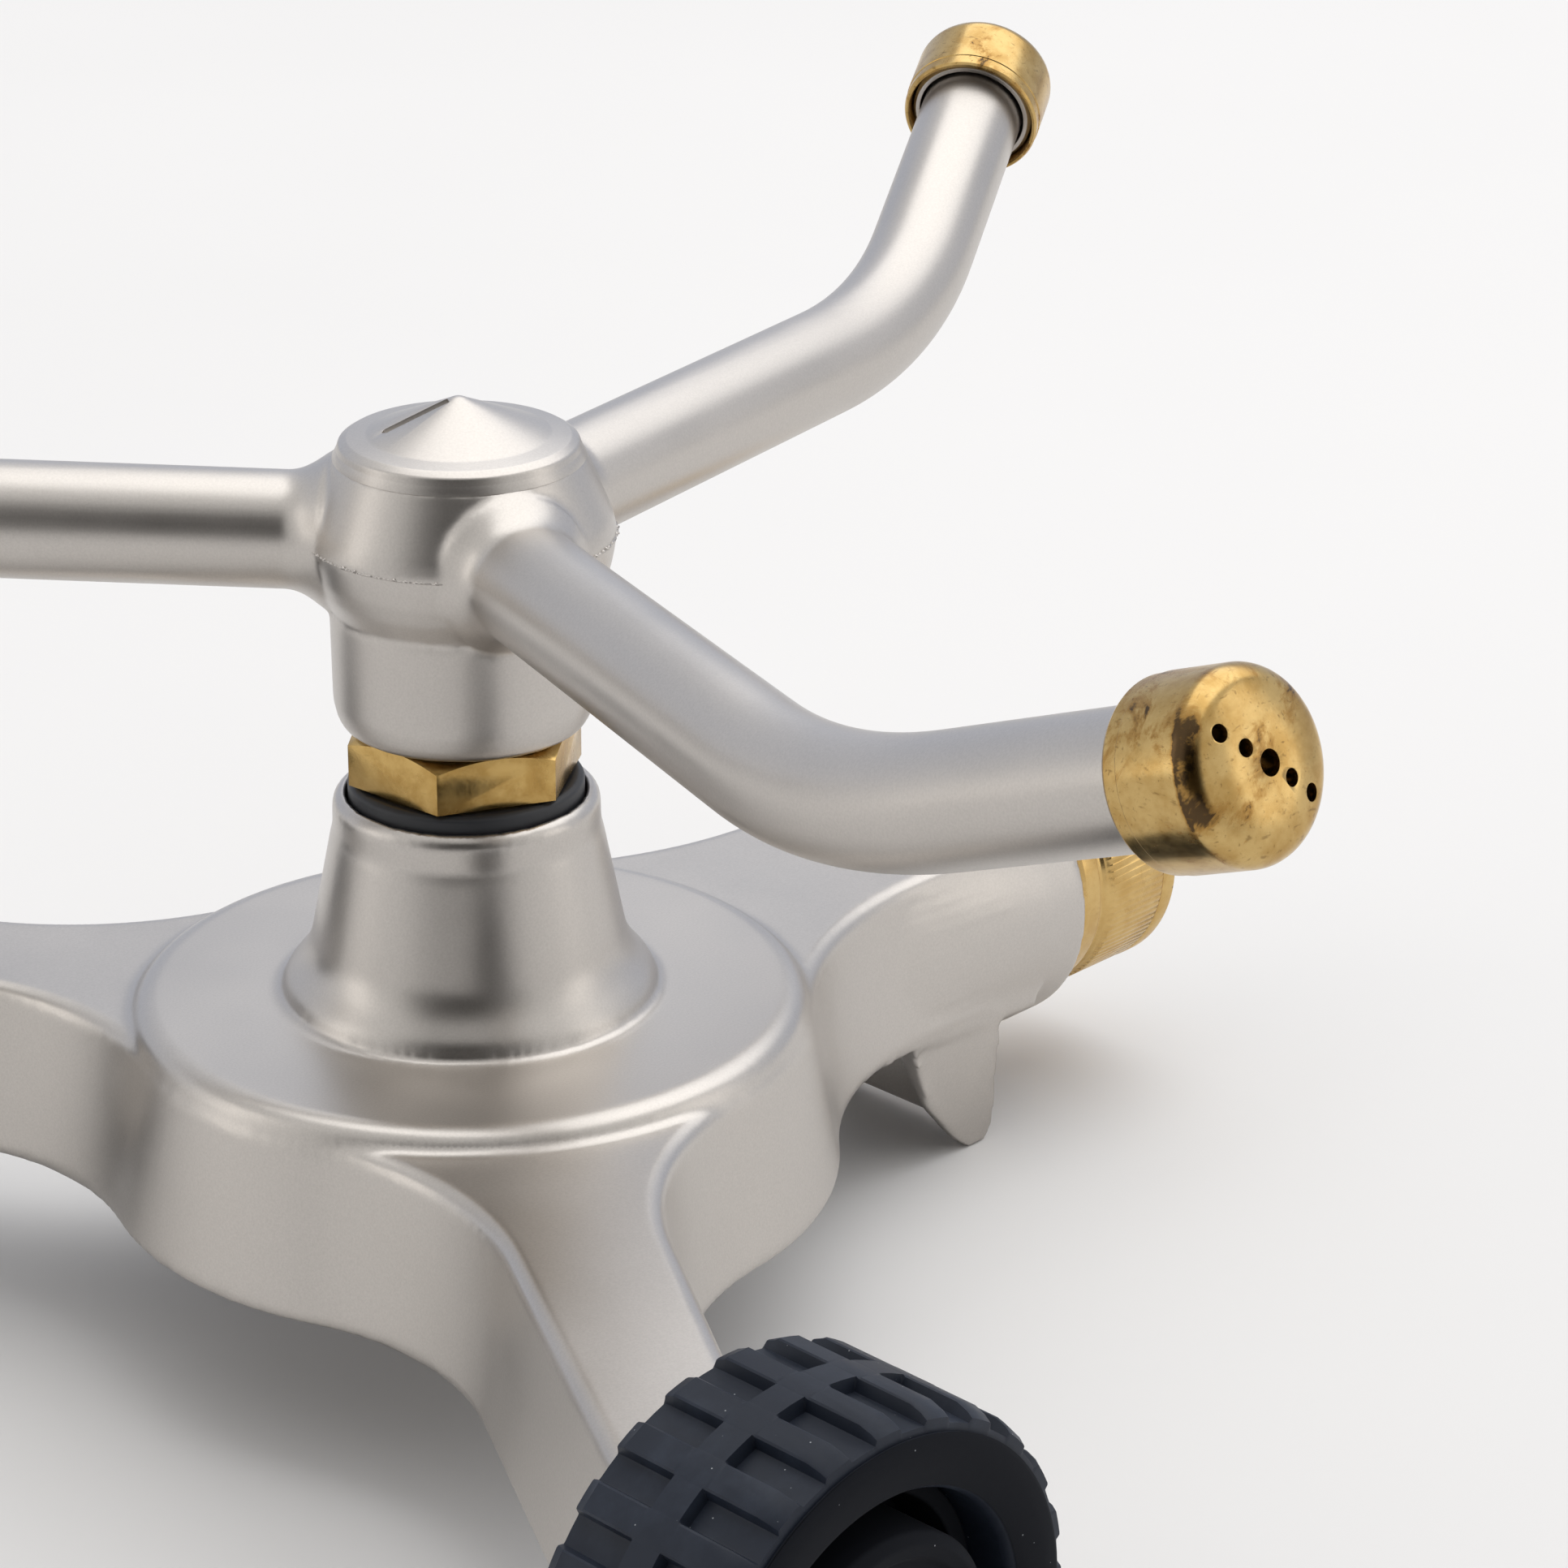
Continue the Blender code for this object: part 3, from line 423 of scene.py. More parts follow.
foot = plate("foot", [
    (51.0, -16.0), (52.7, SKIRT_BOTTOM), (56.5, -30.2, 6.0), (61.7, -35.9, 4.0), (64.4, -PAD_HEIGHT),
    (67.2, -PAD_HEIGHT, 1.0), (68.4, -36.2), (67.3, SKIRT_BOTTOM), (67.3, -16.0)], foot_half, pad_centre)
FOOT_FRONT_END = 0.9 - PAD_HEIGHT
foot_hollow = plate("foot_hollow", [
    (40.0, -10.0), (40.0, -44.0), (72.0, -44.0), (72.0, FOOT_FRONT_END), (66.4, FOOT_FRONT_END),
    (66.4, -36.0), (65.4, -22.0), (65.4, -10.0)], lambda z: foot_half(z) - FOOT_WALL, pad_centre)
leg_core = plate("leg_core", [
    (45.0, -8.0), (45.0, SKIRT_BOTTOM - 0.5), (66.0, SKIRT_BOTTOM - 0.5), (66.0, -8.0)], 11.0, pad_centre)
cavity = lofted("cavity", [
    casting_ring(SKIRT_BOTTOM - 2.0, WALL),
    casting_ring(LEG_TOP - WALL - 1.2, WALL),
    casting_ring(LEG_TOP - WALL, WALL + 1.2)], pad_centre)
pad_cavity = turned("pad_cavity", [
    (0, -WALL), (29.6, -WALL), (30.8, -WALL - 1.2), (30.8, -8.0), (0, -8.0)], pad_centre, solid=True)

AXLE_BOSS_R, AXLE_BORE_R, RIB_START, RIB_TOP = 6.2, 3.3, 8.0, -2.2


def rib(name, end, low, where):
    """A rib under the casting's top, from the column out to its end."""
    return plate(name, [(RIB_START, low), (end, low), (end, RIB_TOP), (RIB_START, RIB_TOP)], RIB_HALF, where)


column = rod("column", 12.4, SKIRT_BOTTOM + 1.0, -1.0, pad_centre)
inner_forms = [rod("pipe", 7.4, 0, 67.0, inlet_axis)]
axle_bosses, axle_bores, axles = [], [], {}
for side, sign in (("right", -1), ("left", 1)):
    along_leg = pad_centre @ Matrix.Rotation(radians(sign * WHEEL_LEG_ANGLE), 4, "Z")
    inner_forms.append(rib("leg_rib_" + side, 88.0, -14.0, along_leg))
    hub_inner = Vector((WHEEL_X, sign * WHEEL_INNER, WHEEL_R - PAD_HEIGHT))
    axles[side] = (pad_centre @ Matrix.Translation(hub_inner * MM)
                   @ Matrix.Rotation(radians(-sign * 90), 4, "X"))
    boss = rod("axle_boss_" + side, AXLE_BOSS_R, -16.0, WHEEL_LEG_END - WHEEL_INNER, axles[side])
    combine(boss, "INTERSECT", [lofted("inner_limit", [
        casting_ring(SKIRT_BOTTOM + 0.2, 1.0), casting_ring(LEG_TOP - 1.0, 1.0)], pad_centre)])
    axle_bosses.append(boss)
    axle_bores.append(rod("axle_bore_" + side, AXLE_BORE_R, -13.5, 2.0, axles[side]))
for k in range(3):
    across = pad_centre @ Matrix.Rotation(radians(60.0 + 120.0 * k), 4, "Z")
    inner_forms.append(rib("cross_rib_" + str(k), 32.6, -12.0, across))
inlet_bore = turned("inlet_bore", [
    (0, COLLAR_END + 2), (NIPPLE_R + 0.3, COLLAR_END + 2), (NIPPLE_R + 0.3, 68.0), (5.5, 66.5),
    (5.5, -1.0), (0, -1.0)], inlet_axis, 48, solid=True)
riser = turned("riser", [
    (0, TOWER_TOP + 2), (CUP_R, TOWER_TOP + 2), (CUP_R, CUP_FLOOR), (10.0, CUP_FLOOR),
    (10.0, 6.0), (5.9, 3.0), (5.9, INLET_Z + 0.5), (0, INLET_Z + 0.5)], pad_centre, 64, solid=True)


RIM_START, RIM_DEEPENS, RIM_FULL, RIM_DEPTH, RIM_HEIGHT = 42.0, 44.0, 73.0, 2.1, 1.4
outer_high, outer_low = casting_ring(SKIRT_BOTTOM + RIM_HEIGHT, 0.02), casting_ring(SKIRT_BOTTOM - 1.0, 0.5)
inner_high, inner_low = casting_ring(SKIRT_BOTTOM + RIM_HEIGHT, WALL), casting_ring(SKIRT_BOTTOM - 1.0, WALL)


def rim_section(k):
    """Section of the inlet leg's rim at point k of its outline: the rim deepens towards the collar."""
    share = (outer_high[k][0] - RIM_DEEPENS) / (RIM_FULL - RIM_DEEPENS)
    low = SKIRT_BOTTOM - RIM_DEPTH * min(max(share, 0.0), 1.0)
    return [outer_high[k], (*outer_low[k][:2], low), (*inner_low[k][:2], low), inner_high[k]]


inlet_leg_points = range(2 * (BLEND_STEPS + 1) + 2)
leg_rim = lofted("leg_rim", [rim_section(k) for k in inlet_leg_points if outer_high[k][0] > RIM_START],
                 pad_centre)
cut(foot, leg_core, foot_hollow)
join(foot, collar)
join(column, *inner_forms, *axle_bosses)
join(cavity, pad_cavity)
join(inlet_bore, riser)
join(cast_base, crown, cheeks)
cut(cast_base, cavity)
join(cast_base, column, foot, leg_rim)
cut(cast_base, inlet_bore, *axle_bores)
cast(cast_base, cell=0.5, passes=4)

# Satin nickel on blasted zinc: a soft grey metal, roughness 0.31 to 0.39. The grain is drawn 0.24 mm wide,
# coarser than real blasting, so that it shows. The casting's pits are up to 0.5 mm across, and one place in
# five has one.
PIT_SPACING, PIT_FREE = 8.333, 0.80
satin_nickel, tree, output = new_material("satin_nickel_plate")
at = add(tree, "ShaderNodeTexCoord").outputs["Object"]
grain = add(tree, "ShaderNodeTexNoise", {}, {
    "Vector": at, "Scale": scale_for(0.2381), "Detail": 2.0, "Roughness": 0.6})
cloud = add(tree, "ShaderNodeTexNoise", {}, {
    "Vector": at, "Scale": scale_for(18.18), "Detail": 3.0, "Roughness": 0.5})
pit_cell = add(tree, "ShaderNodeTexVoronoi", {"feature": "F1"}, {
    "Vector": at, "Scale": scale_for(PIT_SPACING)})
pit_chance = add(tree, "ShaderNodeSeparateColor", {}, {0: pit_cell.outputs["Color"]})
pit_here = add(tree, "ShaderNodeMath", {"operation": "GREATER_THAN"}, {0: pit_chance.outputs[0], 1: PIT_FREE})
pit_dot = add(tree, "ShaderNodeMapRange", {"interpolation_type": "SMOOTHSTEP"},
              {0: pit_cell.outputs["Distance"], 1: 0.1 / PIT_SPACING, 2: 0.25 / PIT_SPACING, 3: 1.0, 4: 0.0})
pits = add(tree, "ShaderNodeMath", {"operation": "MULTIPLY"}, {0: pit_here.outputs[0], 1: pit_dot.outputs[0]})
tone = add(tree, "ShaderNodeMix", {"data_type": "RGBA"},
           {0: cloud.outputs["Fac"], 6: linear("#bfbab4"), 7: linear("#c7c2bd")})
speck = add(tree, "ShaderNodeMapRange", {}, {0: grain.outputs["Fac"], 1: 0.3, 2: 0.7, 3: 0.94, 4: 1.04})
grained = add(tree, "ShaderNodeMix", {"data_type": "RGBA", "blend_type": "MULTIPLY"},
              {0: 1.0, 6: tone.outputs[2], 7: speck.outputs[0]})
pitted = add(tree, "ShaderNodeMix", {"data_type": "RGBA"},
             {0: pits.outputs[0], 6: grained.outputs[2], 7: linear("#5a544e")})
polish = add(tree, "ShaderNodeMapRange", {}, {0: cloud.outputs["Fac"], 1: 0.3, 2: 0.7, 3: 0.31, 4: 0.39})
grain_bump = add(tree, "ShaderNodeBump", {}, {
    "Strength": 0.14, "Distance": 0.00002, "Height": grain.outputs["Fac"]})
pit_bump = add(tree, "ShaderNodeBump", {"invert": True}, {
    "Strength": 0.6, "Distance": 0.0001, "Height": pits.outputs[0], "Normal": grain_bump.outputs[0]})
metal = add(tree, "ShaderNodeBsdfPrincipled", {}, {
    "Base Color": pitted.outputs[2], "Metallic": 1.0, "Roughness": polish.outputs[0],
    "Normal": pit_bump.outputs[0]})
tree.links.new(metal.outputs[0], output.inputs["Surface"])
dress(cast_base, satin_nickel, "base", "satin_nickel", "base_casting", "inlet_foot")


# Inlet: a brass nipple fixed in the collar, the hose swivel that turns on its flange, and the hose washer.
# The swivel is turned from brass bar, with a knurled band for the fingers between two plain ones.

nipple = turned("nipple_brass", [
    (11.2, 86.2, 0.2), (11.6, 85.8, 0.2), (11.6, 84.5, 0.1), (9.0, 84.5), (9.0, 68.6), (6.6, 68.6),
    (6.6, 86.2, 0.3)], inlet_axis, 64)
SWIVEL_R, SWIVEL_START, SWIVEL_END, SOCKET_R = 14.85, 81.0, 98.6, 12.9
KNURLS, KNURL_DEPTH, BAND_START, BAND_END = 108, 0.14, 86.8, 95.6
THREAD_START, THREAD_PITCH = 88.2, 2.2
swivel_corners = [
    (13.4, SWIVEL_END, 0.2), (14.2, SWIVEL_END, 0.3), (SWIVEL_R, SWIVEL_END - 0.9, 0.4), (SWIVEL_R, 96.0),
    (SWIVEL_R - 0.15, 95.8), (SWIVEL_R - 0.05, 95.5), (SWIVEL_R - 0.05, 86.9), (SWIVEL_R - 0.4, 86.5),
    (14.3, 86.1, 0.3), (14.0, 85.7, 0.3), (14.0, 85.1, 0.3), (14.5, 84.7, 0.3), (14.5, 82.4, 0.5),
    (14.1, 81.4, 0.3), (13.4, SWIVEL_START, 0.2), (9.5, SWIVEL_START), (9.5, 84.1), (SOCKET_R, 84.1),
    (SOCKET_R, 87.6)]
height = THREAD_START
while height < SWIVEL_END - 1.6:
    swivel_corners += [
        (SOCKET_R + 0.5, height), (SOCKET_R - 0.2, height + 0.9), (SOCKET_R - 0.2, height + 1.15)]
    height += THREAD_PITCH
swivel_corners.append((SOCKET_R + 0.4, SWIVEL_END - 0.9))
steps = KNURLS * 4
bm = bmesh.new()
rings = []
for point in rounded(swivel_corners):
    knurled = BAND_START < point.y < BAND_END and point.x > SWIVEL_R - 0.1
    radii = [point.x - (KNURL_DEPTH if knurled and k % 4 == 0 else 0.0) for k in range(steps)]
    rings.append([bm.verts.new(around(k, steps, radii[k], point.y)) for k in range(steps)])
skin(bm, rings + rings[:1])
swivel = placed("hose_swivel", bm, inlet_axis)
swivel.data.set_sharp_from_angle(angle=radians(40))
washer = turned("hose_washer", [
    (12.5, 89.4, 0.3), (12.5, 86.6, 0.3), (6.8, 86.6, 0.3), (6.8, 89.4, 0.3)], inlet_axis, 72)


def brass_finish(name, clean, worn, dull, spots, tarnish, scratches, tarnish_and_painted_reflection=()):
    """Turned brass that has been handled: clouds 3 mm wide, fine scratches, tarnish that goes from orange to
    grey-brown, and dark specks up to 0.4 mm across. Each (place, reach, low, high, amount) in the last
    argument darkens the brass round a place, where the distance from the piece's origin is between low and
    high, in mm.
    These marks are tarnish and also a painted dark reflection. The tool's lines and the scratches are drawn
    0.4 mm wide, coarser than real ones, so that they show."""
    speck_spacing = 2.381
    material, tree, output = new_material(name)
    at = add(tree, "ShaderNodeTexCoord").outputs["Object"]
    cloud = add(tree, "ShaderNodeTexNoise", {}, {
        "Vector": at, "Scale": scale_for(3.0303), "Detail": 5.0, "Roughness": 0.62})
    stain = add(tree, "ShaderNodeTexNoise", {}, {
        "Vector": at, "Scale": scale_for(5.8824), "Detail": 6.0, "Roughness": 0.7, "Distortion": 0.6})
    grain = add(tree, "ShaderNodeTexNoise", {}, {"Vector": at, "Scale": scale_for(0.3846), "Detail": 2.0})
    shade = add(tree, "ShaderNodeMapRange", {"interpolation_type": "SMOOTHSTEP"},
                {0: cloud.outputs["Fac"], 1: 0.35, 2: 0.68, 3: 0.0, 4: 1.0})
    tone = add(tree, "ShaderNodeMix", {"data_type": "RGBA"},
               {0: shade.outputs[0], 6: linear(clean), 7: linear(worn)})
    darkness = stain.outputs["Fac"]
    out = add(tree, "ShaderNodeVectorMath", {"operation": "LENGTH"}, {0: at}).outputs["Value"]
    # Each mark darkens the brass round its place: tarnish, and also a painted dark reflection.
    for place, reach, low, high, amount in tarnish_and_painted_reflection:
        off = add(tree, "ShaderNodeVectorMath", {"operation": "DISTANCE"}, {0: at, 1: place * MM})
        near = add(tree, "ShaderNodeMapRange", {"interpolation_type": "SMOOTHSTEP"},
                   {0: off.outputs["Value"], 1: 0.6 * reach * MM, 2: reach * MM, 3: amount, 4: 0.0})
        above = add(tree, "ShaderNodeMapRange", {},
                    {0: out, 1: low * MM, 2: (low + 0.4) * MM, 3: 0.0, 4: 1.0})
        below = add(tree, "ShaderNodeMapRange", {},
                    {0: out, 1: (high - 0.4) * MM, 2: high * MM, 3: 1.0, 4: 0.0})
        within = add(tree, "ShaderNodeMath", {"operation": "MULTIPLY"},
                     {0: above.outputs[0], 1: below.outputs[0]})
        extra = add(tree, "ShaderNodeMath", {"operation": "MULTIPLY"},
                    {0: near.outputs[0], 1: within.outputs[0]})
        darkness = add(tree, "ShaderNodeMath", {}, {0: darkness, 1: extra.outputs[0]}).outputs[0]
    bloom = add(tree, "ShaderNodeMapRange", {"interpolation_type": "SMOOTHSTEP"},
                {0: darkness, 1: 0.52, 2: 0.62, 3: 0.0, 4: tarnish})
    warmed = add(tree, "ShaderNodeMix", {"data_type": "RGBA"},
                 {0: bloom.outputs[0], 6: tone.outputs[2], 7: linear("#a17a41")})
    patch = add(tree, "ShaderNodeMapRange", {"interpolation_type": "SMOOTHSTEP"},
                {0: darkness, 1: 0.61, 2: 0.67, 3: 0.0, 4: tarnish})
    stained = add(tree, "ShaderNodeMix", {"data_type": "RGBA"},
                  {0: patch.outputs[0], 6: warmed.outputs[2], 7: linear(dull)})
    scratched = stained
    for drawn_out in ((1.0, 0.25, 1.0), (0.3, 1.0, 0.8)):
        stretched = add(tree, "ShaderNodeMapping", {}, {"Vector": at, "Scale": drawn_out})
        lines = add(tree, "ShaderNodeTexNoise", {}, {
            "Vector": stretched.outputs[0], "Scale": scale_for(0.3846), "Detail": 2.0})
        line = add(tree, "ShaderNodeMapRange", {},
                   {0: lines.outputs["Fac"], 1: 0.64, 2: 0.74, 3: 0.0, 4: scratches})
        scratched = add(tree, "ShaderNodeMix", {"data_type": "RGBA"},
                        {0: line.outputs[0], 6: scratched.outputs[2], 7: linear("#6f5430")})
    cell = add(tree, "ShaderNodeTexVoronoi", {"feature": "F1"}, {
        "Vector": at, "Scale": scale_for(speck_spacing)})
    chance = add(tree, "ShaderNodeSeparateColor", {}, {0: cell.outputs["Color"]})
    here = add(tree, "ShaderNodeMath", {"operation": "GREATER_THAN"}, {0: chance.outputs[0], 1: spots})
    dot = add(tree, "ShaderNodeMapRange", {"interpolation_type": "SMOOTHSTEP"}, {
        0: cell.outputs["Distance"], 1: 0.0714 / speck_spacing, 2: 0.2143 / speck_spacing, 3: 0.8, 4: 0.0})
    specks = add(tree, "ShaderNodeMath", {"operation": "MULTIPLY"}, {0: here.outputs[0], 1: dot.outputs[0]})
    specked = add(tree, "ShaderNodeMix", {"data_type": "RGBA"},
                  {0: specks.outputs[0], 6: scratched.outputs[2], 7: linear("#4a3c24")})
    polish = add(tree, "ShaderNodeMapRange", {},
                 {0: stain.outputs["Fac"], 1: 0.35, 2: 0.75, 3: 0.17, 4: 0.36})
    bump = add(tree, "ShaderNodeBump", {}, {
        "Strength": 0.2, "Distance": 0.00002, "Height": grain.outputs["Fac"]})
    metal = add(tree, "ShaderNodeBsdfPrincipled", {}, {
        "Base Color": specked.outputs[2], "Metallic": 1.0, "Roughness": polish.outputs[0],
        "Normal": bump.outputs[0]})
    tree.links.new(metal.outputs[0], output.inputs["Surface"])
    return material


def rubber_finish(name, colour, roughness):
    """Moulded black nitrile rubber: matte, with a fine skin, and greyer where a little dust lies."""
    material, tree, output = new_material(name)
    at = add(tree, "ShaderNodeTexCoord").outputs["Object"]
    fine = add(tree, "ShaderNodeTexNoise", {}, {"Vector": at, "Scale": scale_for(0.6667), "Detail": 3.0})
    cloud = add(tree, "ShaderNodeTexNoise", {}, {"Vector": at, "Scale": scale_for(11.11), "Detail": 4.0})
    tone = add(tree, "ShaderNodeMix", {"data_type": "RGBA"},
               {0: cloud.outputs["Fac"], 6: linear(colour), 7: linear("#2c2e33")})
    bump = add(tree, "ShaderNodeBump", {}, {
        "Strength": 0.3, "Distance": 0.00003, "Height": fine.outputs["Fac"]})
    body = add(tree, "ShaderNodeBsdfPrincipled", {}, {
        "Base Color": tone.outputs[2], "Roughness": roughness, "Normal": bump.outputs[0]})
    tree.links.new(body.outputs[0], output.inputs["Surface"])
    return material


swivel_brass = brass_finish("turned_brass_swivel", "#d2b276", "#c6a366", "#9c8456", 0.96, 0.15, 0.1)
nitrile = rubber_finish("black_nitrile_rubber", "#17181b", 0.5)
dress(nipple, swivel_brass, "base", "brass", "inlet_nipple")
dress(swivel, swivel_brass, "swivel", "brass", "inlet_swivel")
dress(washer, nitrile, "swivel", "black_rubber", "inlet_washer")


# Bearing: the brass spindle screwed into the tower, with the hexagon that a spanner turns, and the rubber
# ring squeezed under it. The hexagon is drawn bar with its corners chamfered by turning.

HEX_FLATS, HEX_BOTTOM, HEX_TOP, HEX_TURN = 21.4, 23.9, 29.2, -145.8
SPINDLE_TOP, SPINDLE_END, SPINDLE_R, SPINDLE_BORE_R, SCREW_R = 47.0, 6.3, 6.8, 4.6, 9.7
hex_corner = HEX_FLATS / 2 / cos(pi / 6)


def break_edges(piece, width, sharper_than, sharp_from):
    """Takes the sharp edges off a piece by a small bevel, and keeps the shading crisp at what stays sharp."""
    bevel = piece.modifiers.new("broken_edges", "BEVEL")
    bevel.width = width * MM
    bevel.segments = 2
    bevel.limit_method = "ANGLE"
    bevel.angle_limit = radians(sharper_than)
    settle(piece)
    piece.data.set_sharp_from_angle(angle=radians(sharp_from))


spindle = turned("spindle_brass", [
    (6.4, SPINDLE_TOP), (SPINDLE_R, SPINDLE_TOP - 0.4), (SPINDLE_R, HEX_BOTTOM + 1),
    (SCREW_R, HEX_BOTTOM + 1), (SCREW_R, 7.0), (9.0, SPINDLE_END), (SPINDLE_BORE_R, SPINDLE_END),
    (SPINDLE_BORE_R, SPINDLE_TOP)], pad_centre, 64)
hex_angles = [radians(HEX_TURN + 60 * k) for k in range(6)]
hexagon = lofted("hexagon", [
    [(hex_corner * cos(a), hex_corner * sin(a), z) for a in hex_angles] for z in (HEX_BOTTOM, HEX_TOP)],
    pad_centre)
chamfer = turned("hex_chamfer", [
    (0, HEX_TOP + 0.1), (HEX_FLATS / 2 - 0.2, HEX_TOP + 0.1), (hex_corner + 0.5, HEX_TOP - 1.25),
    (hex_corner + 0.5, HEX_BOTTOM + 0.2), (hex_corner - 0.1, HEX_BOTTOM - 0.1), (0, HEX_BOTTOM - 0.1)],
    pad_centre, 120, solid=True)
combine(hexagon, "INTERSECT", [chamfer])
cut(hexagon, rod("hex_bore", 5.6, HEX_BOTTOM - 1, HEX_TOP + 1, pad_centre))
join(spindle, hexagon)
break_edges(spindle, 0.18, 24, 30)
seal = turned("seal_ring", [
    (11.5, 23.6, 0.5), (12.1, 23.3, 0.5), (12.1, 18.2, 0.5), (10.1, 18.2), (10.1, 23.6)], pad_centre, 96)
hex_brass = brass_finish("drawn_brass_hexagon", "#c9a869", "#b08d50", "#7d6a48", 0.98, 0.12, 0.15)
dress(spindle, hex_brass, "base", "brass", "bearing_spindle")
dress(seal, nitrile, "base", "black_rubber", "spindle_seal")


# Rotor: the zinc hub and its three arms, blended into one another and plated with the base's satin nickel.
# The mould parted at the arms' middle, which left a thin line of flash round the hub.

ROTOR_TURN, ARM_HEIGHT, ARM_R, ARM_INNER, ARM_CORNER, ARM_OUTER = 130.55, 49.25, 6.0, 11.0, 81.2, 46.9
ARM_RISE, ARM_SWING, ARM_LIFT, ARM_BEND_R, BEND_STEPS = 0.63, 18.35, 21.86, 60.0, 20
HUB_TOP, HUB_BOTTOM = 56.6, 29.6
rotor_frame = pad_centre @ Matrix.Rotation(radians(ROTOR_TURN), 4, "Z")


def run(turn, lift):
    """Unit direction of an arm's straight run."""
    return Vector((cos(radians(turn)) * cos(radians(lift)), sin(radians(turn)) * cos(radians(lift)),
                   sin(radians(lift))))


inner_run, outer_run = run(0, ARM_RISE), run(ARM_SWING, ARM_LIFT)
arm_centre = Vector((0, 0, ARM_HEIGHT))
corner = arm_centre + inner_run * ARM_CORNER
bend_angle = inner_run.angle(outer_run)
bend_centre = corner + (outer_run - inner_run).normalized() * (ARM_BEND_R / cos(bend_angle / 2))
bend_start = corner - inner_run * (ARM_BEND_R * tan(bend_angle / 2)) - bend_centre
bend_axis = inner_run.cross(outer_run)
arm_bend = [bend_centre + Matrix.Rotation(bend_angle * k / BEND_STEPS, 3, bend_axis) @ bend_start
            for k in range(BEND_STEPS + 1)]
arm_line = [arm_centre + inner_run * ARM_INNER] + arm_bend + [corner + outer_run * ARM_OUTER]


def bar(name, path, radius, sides, where):
    """A round bar along a path with flat ends; its rings stay square to the path."""
    rings = []
    for i, point in enumerate(path):
        ahead = (path[min(i + 1, len(path) - 1)] - path[max(i - 1, 0)]).normalized()
        level = Vector((0, 0, 1)).cross(ahead).normalized()
        over = ahead.cross(level)
        rings.append([point + (level * cos(2 * pi * k / sides) + over * sin(2 * pi * k / sides)) * radius
                      for k in range(sides)])
    return lofted(name, rings, where)


cast_rotor = turned("cast_rotor", [
    (0, 58.0), (12.45, 58.0), (13.4, 55.9, 6), (14.5, 53.3, 6), (15.2, 51.6, 4), (15.6, 49.9, 0.6),
    (15.4, 48.4, 3), (15.05, 46.6, 4), (14.4, 44.7, 3), (13.6, 43.1, 1), (13.2, 42.4, 0.3),
    (13.35, 41.9, 0.3), (13.25, 32.4, 3), (12.9, 30.8, 1), (12.4, 29.9, 0.5), (11.9, HUB_BOTTOM),
    (0, HUB_BOTTOM)], rotor_frame, 128, solid=True, fillet_steps=3)
hub_bore = turned("hub_bore", [
    (0, HUB_TOP + 2), (11.2, HUB_TOP + 2), (11.2, HUB_TOP), (9.6, HUB_TOP), (9.6, 41.3), (7.6, 41.3),
    (7.6, 39.5), (10.5, 39.5), (10.5, HUB_BOTTOM - 2), (0, HUB_BOTTOM - 2)], rotor_frame, 64, solid=True)
z_to_run = inner_run.to_track_quat("Z", "Y").to_matrix().to_4x4()
arm_frames = [rotor_frame @ Matrix.Rotation(radians(120 * k), 4, "Z") for k in range(3)]
forms = []
for k, turn in enumerate(arm_frames):
    socket_line = turn @ Matrix.Translation(arm_centre * MM) @ z_to_run
    forms.append(turned("root_" + str(k), [
        (0, 17.7), (5.9, 17.7), (6.05, 16.8), (6.3, 15.9), (6.75, 15.0), (7.35, 14.1), (8.0, 13.2),
        (8.0, 11.8), (0, 11.8)], socket_line, 64, solid=True))
    forms.append(bar("arm_" + str(k), arm_line, ARM_R, 64, turn))
join(cast_rotor, *forms)
cut(cast_rotor, hub_bore)
cast(cast_rotor, cell=0.4, passes=4)
dress(cast_rotor, satin_nickel, "rotor", "satin_nickel",
      "rotor_hub", "arm_tube_1", "arm_tube_2", "arm_tube_3")

FLASH_HEIGHT, FLASH_STEPS, FLASH_SWEEP, FLASH_STARTS = 49.75, 160, 76.0, (22.0, 142.0, 262.0)
bm = bmesh.new()
for start in FLASH_STARTS:
    ridge = []
    for k in range(FLASH_STEPS + 1):
        angle = radians(start + FLASH_SWEEP * k / FLASH_STEPS)
        ragged = noise.noise(Vector((angle * 40.0, start, 0.0)))
        fine = noise.noise(Vector((angle * 130.0, start, 5.0)))
        fade = min(1.0, k / 12, (FLASH_STEPS - k) / 12)
        crest = 15.42 + max(0.02, 0.24 + 0.36 * ragged + 0.16 * fine) * fade
        middle = FLASH_HEIGHT + 0.12 * ragged
        ridge.append([bm.verts.new((r * cos(angle) * MM, r * sin(angle) * MM, z * MM)) for r, z in (
            (15.0, middle + 0.3), (crest, middle + 0.05), (crest, middle - 0.08), (15.0, middle - 0.35))])
    skin(bm, ridge)
    bm.faces.new(ridge[0])
    bm.faces.new(ridge[-1])
flash = placed("flash_line", bm, rotor_frame)
dress(flash, satin_nickel, "rotor", "satin_nickel")


# Hub cap: a screwed zinc plug with a low cone on top and one groove cut down the cone, plated like the hub.
# It sits on a rubber ring.

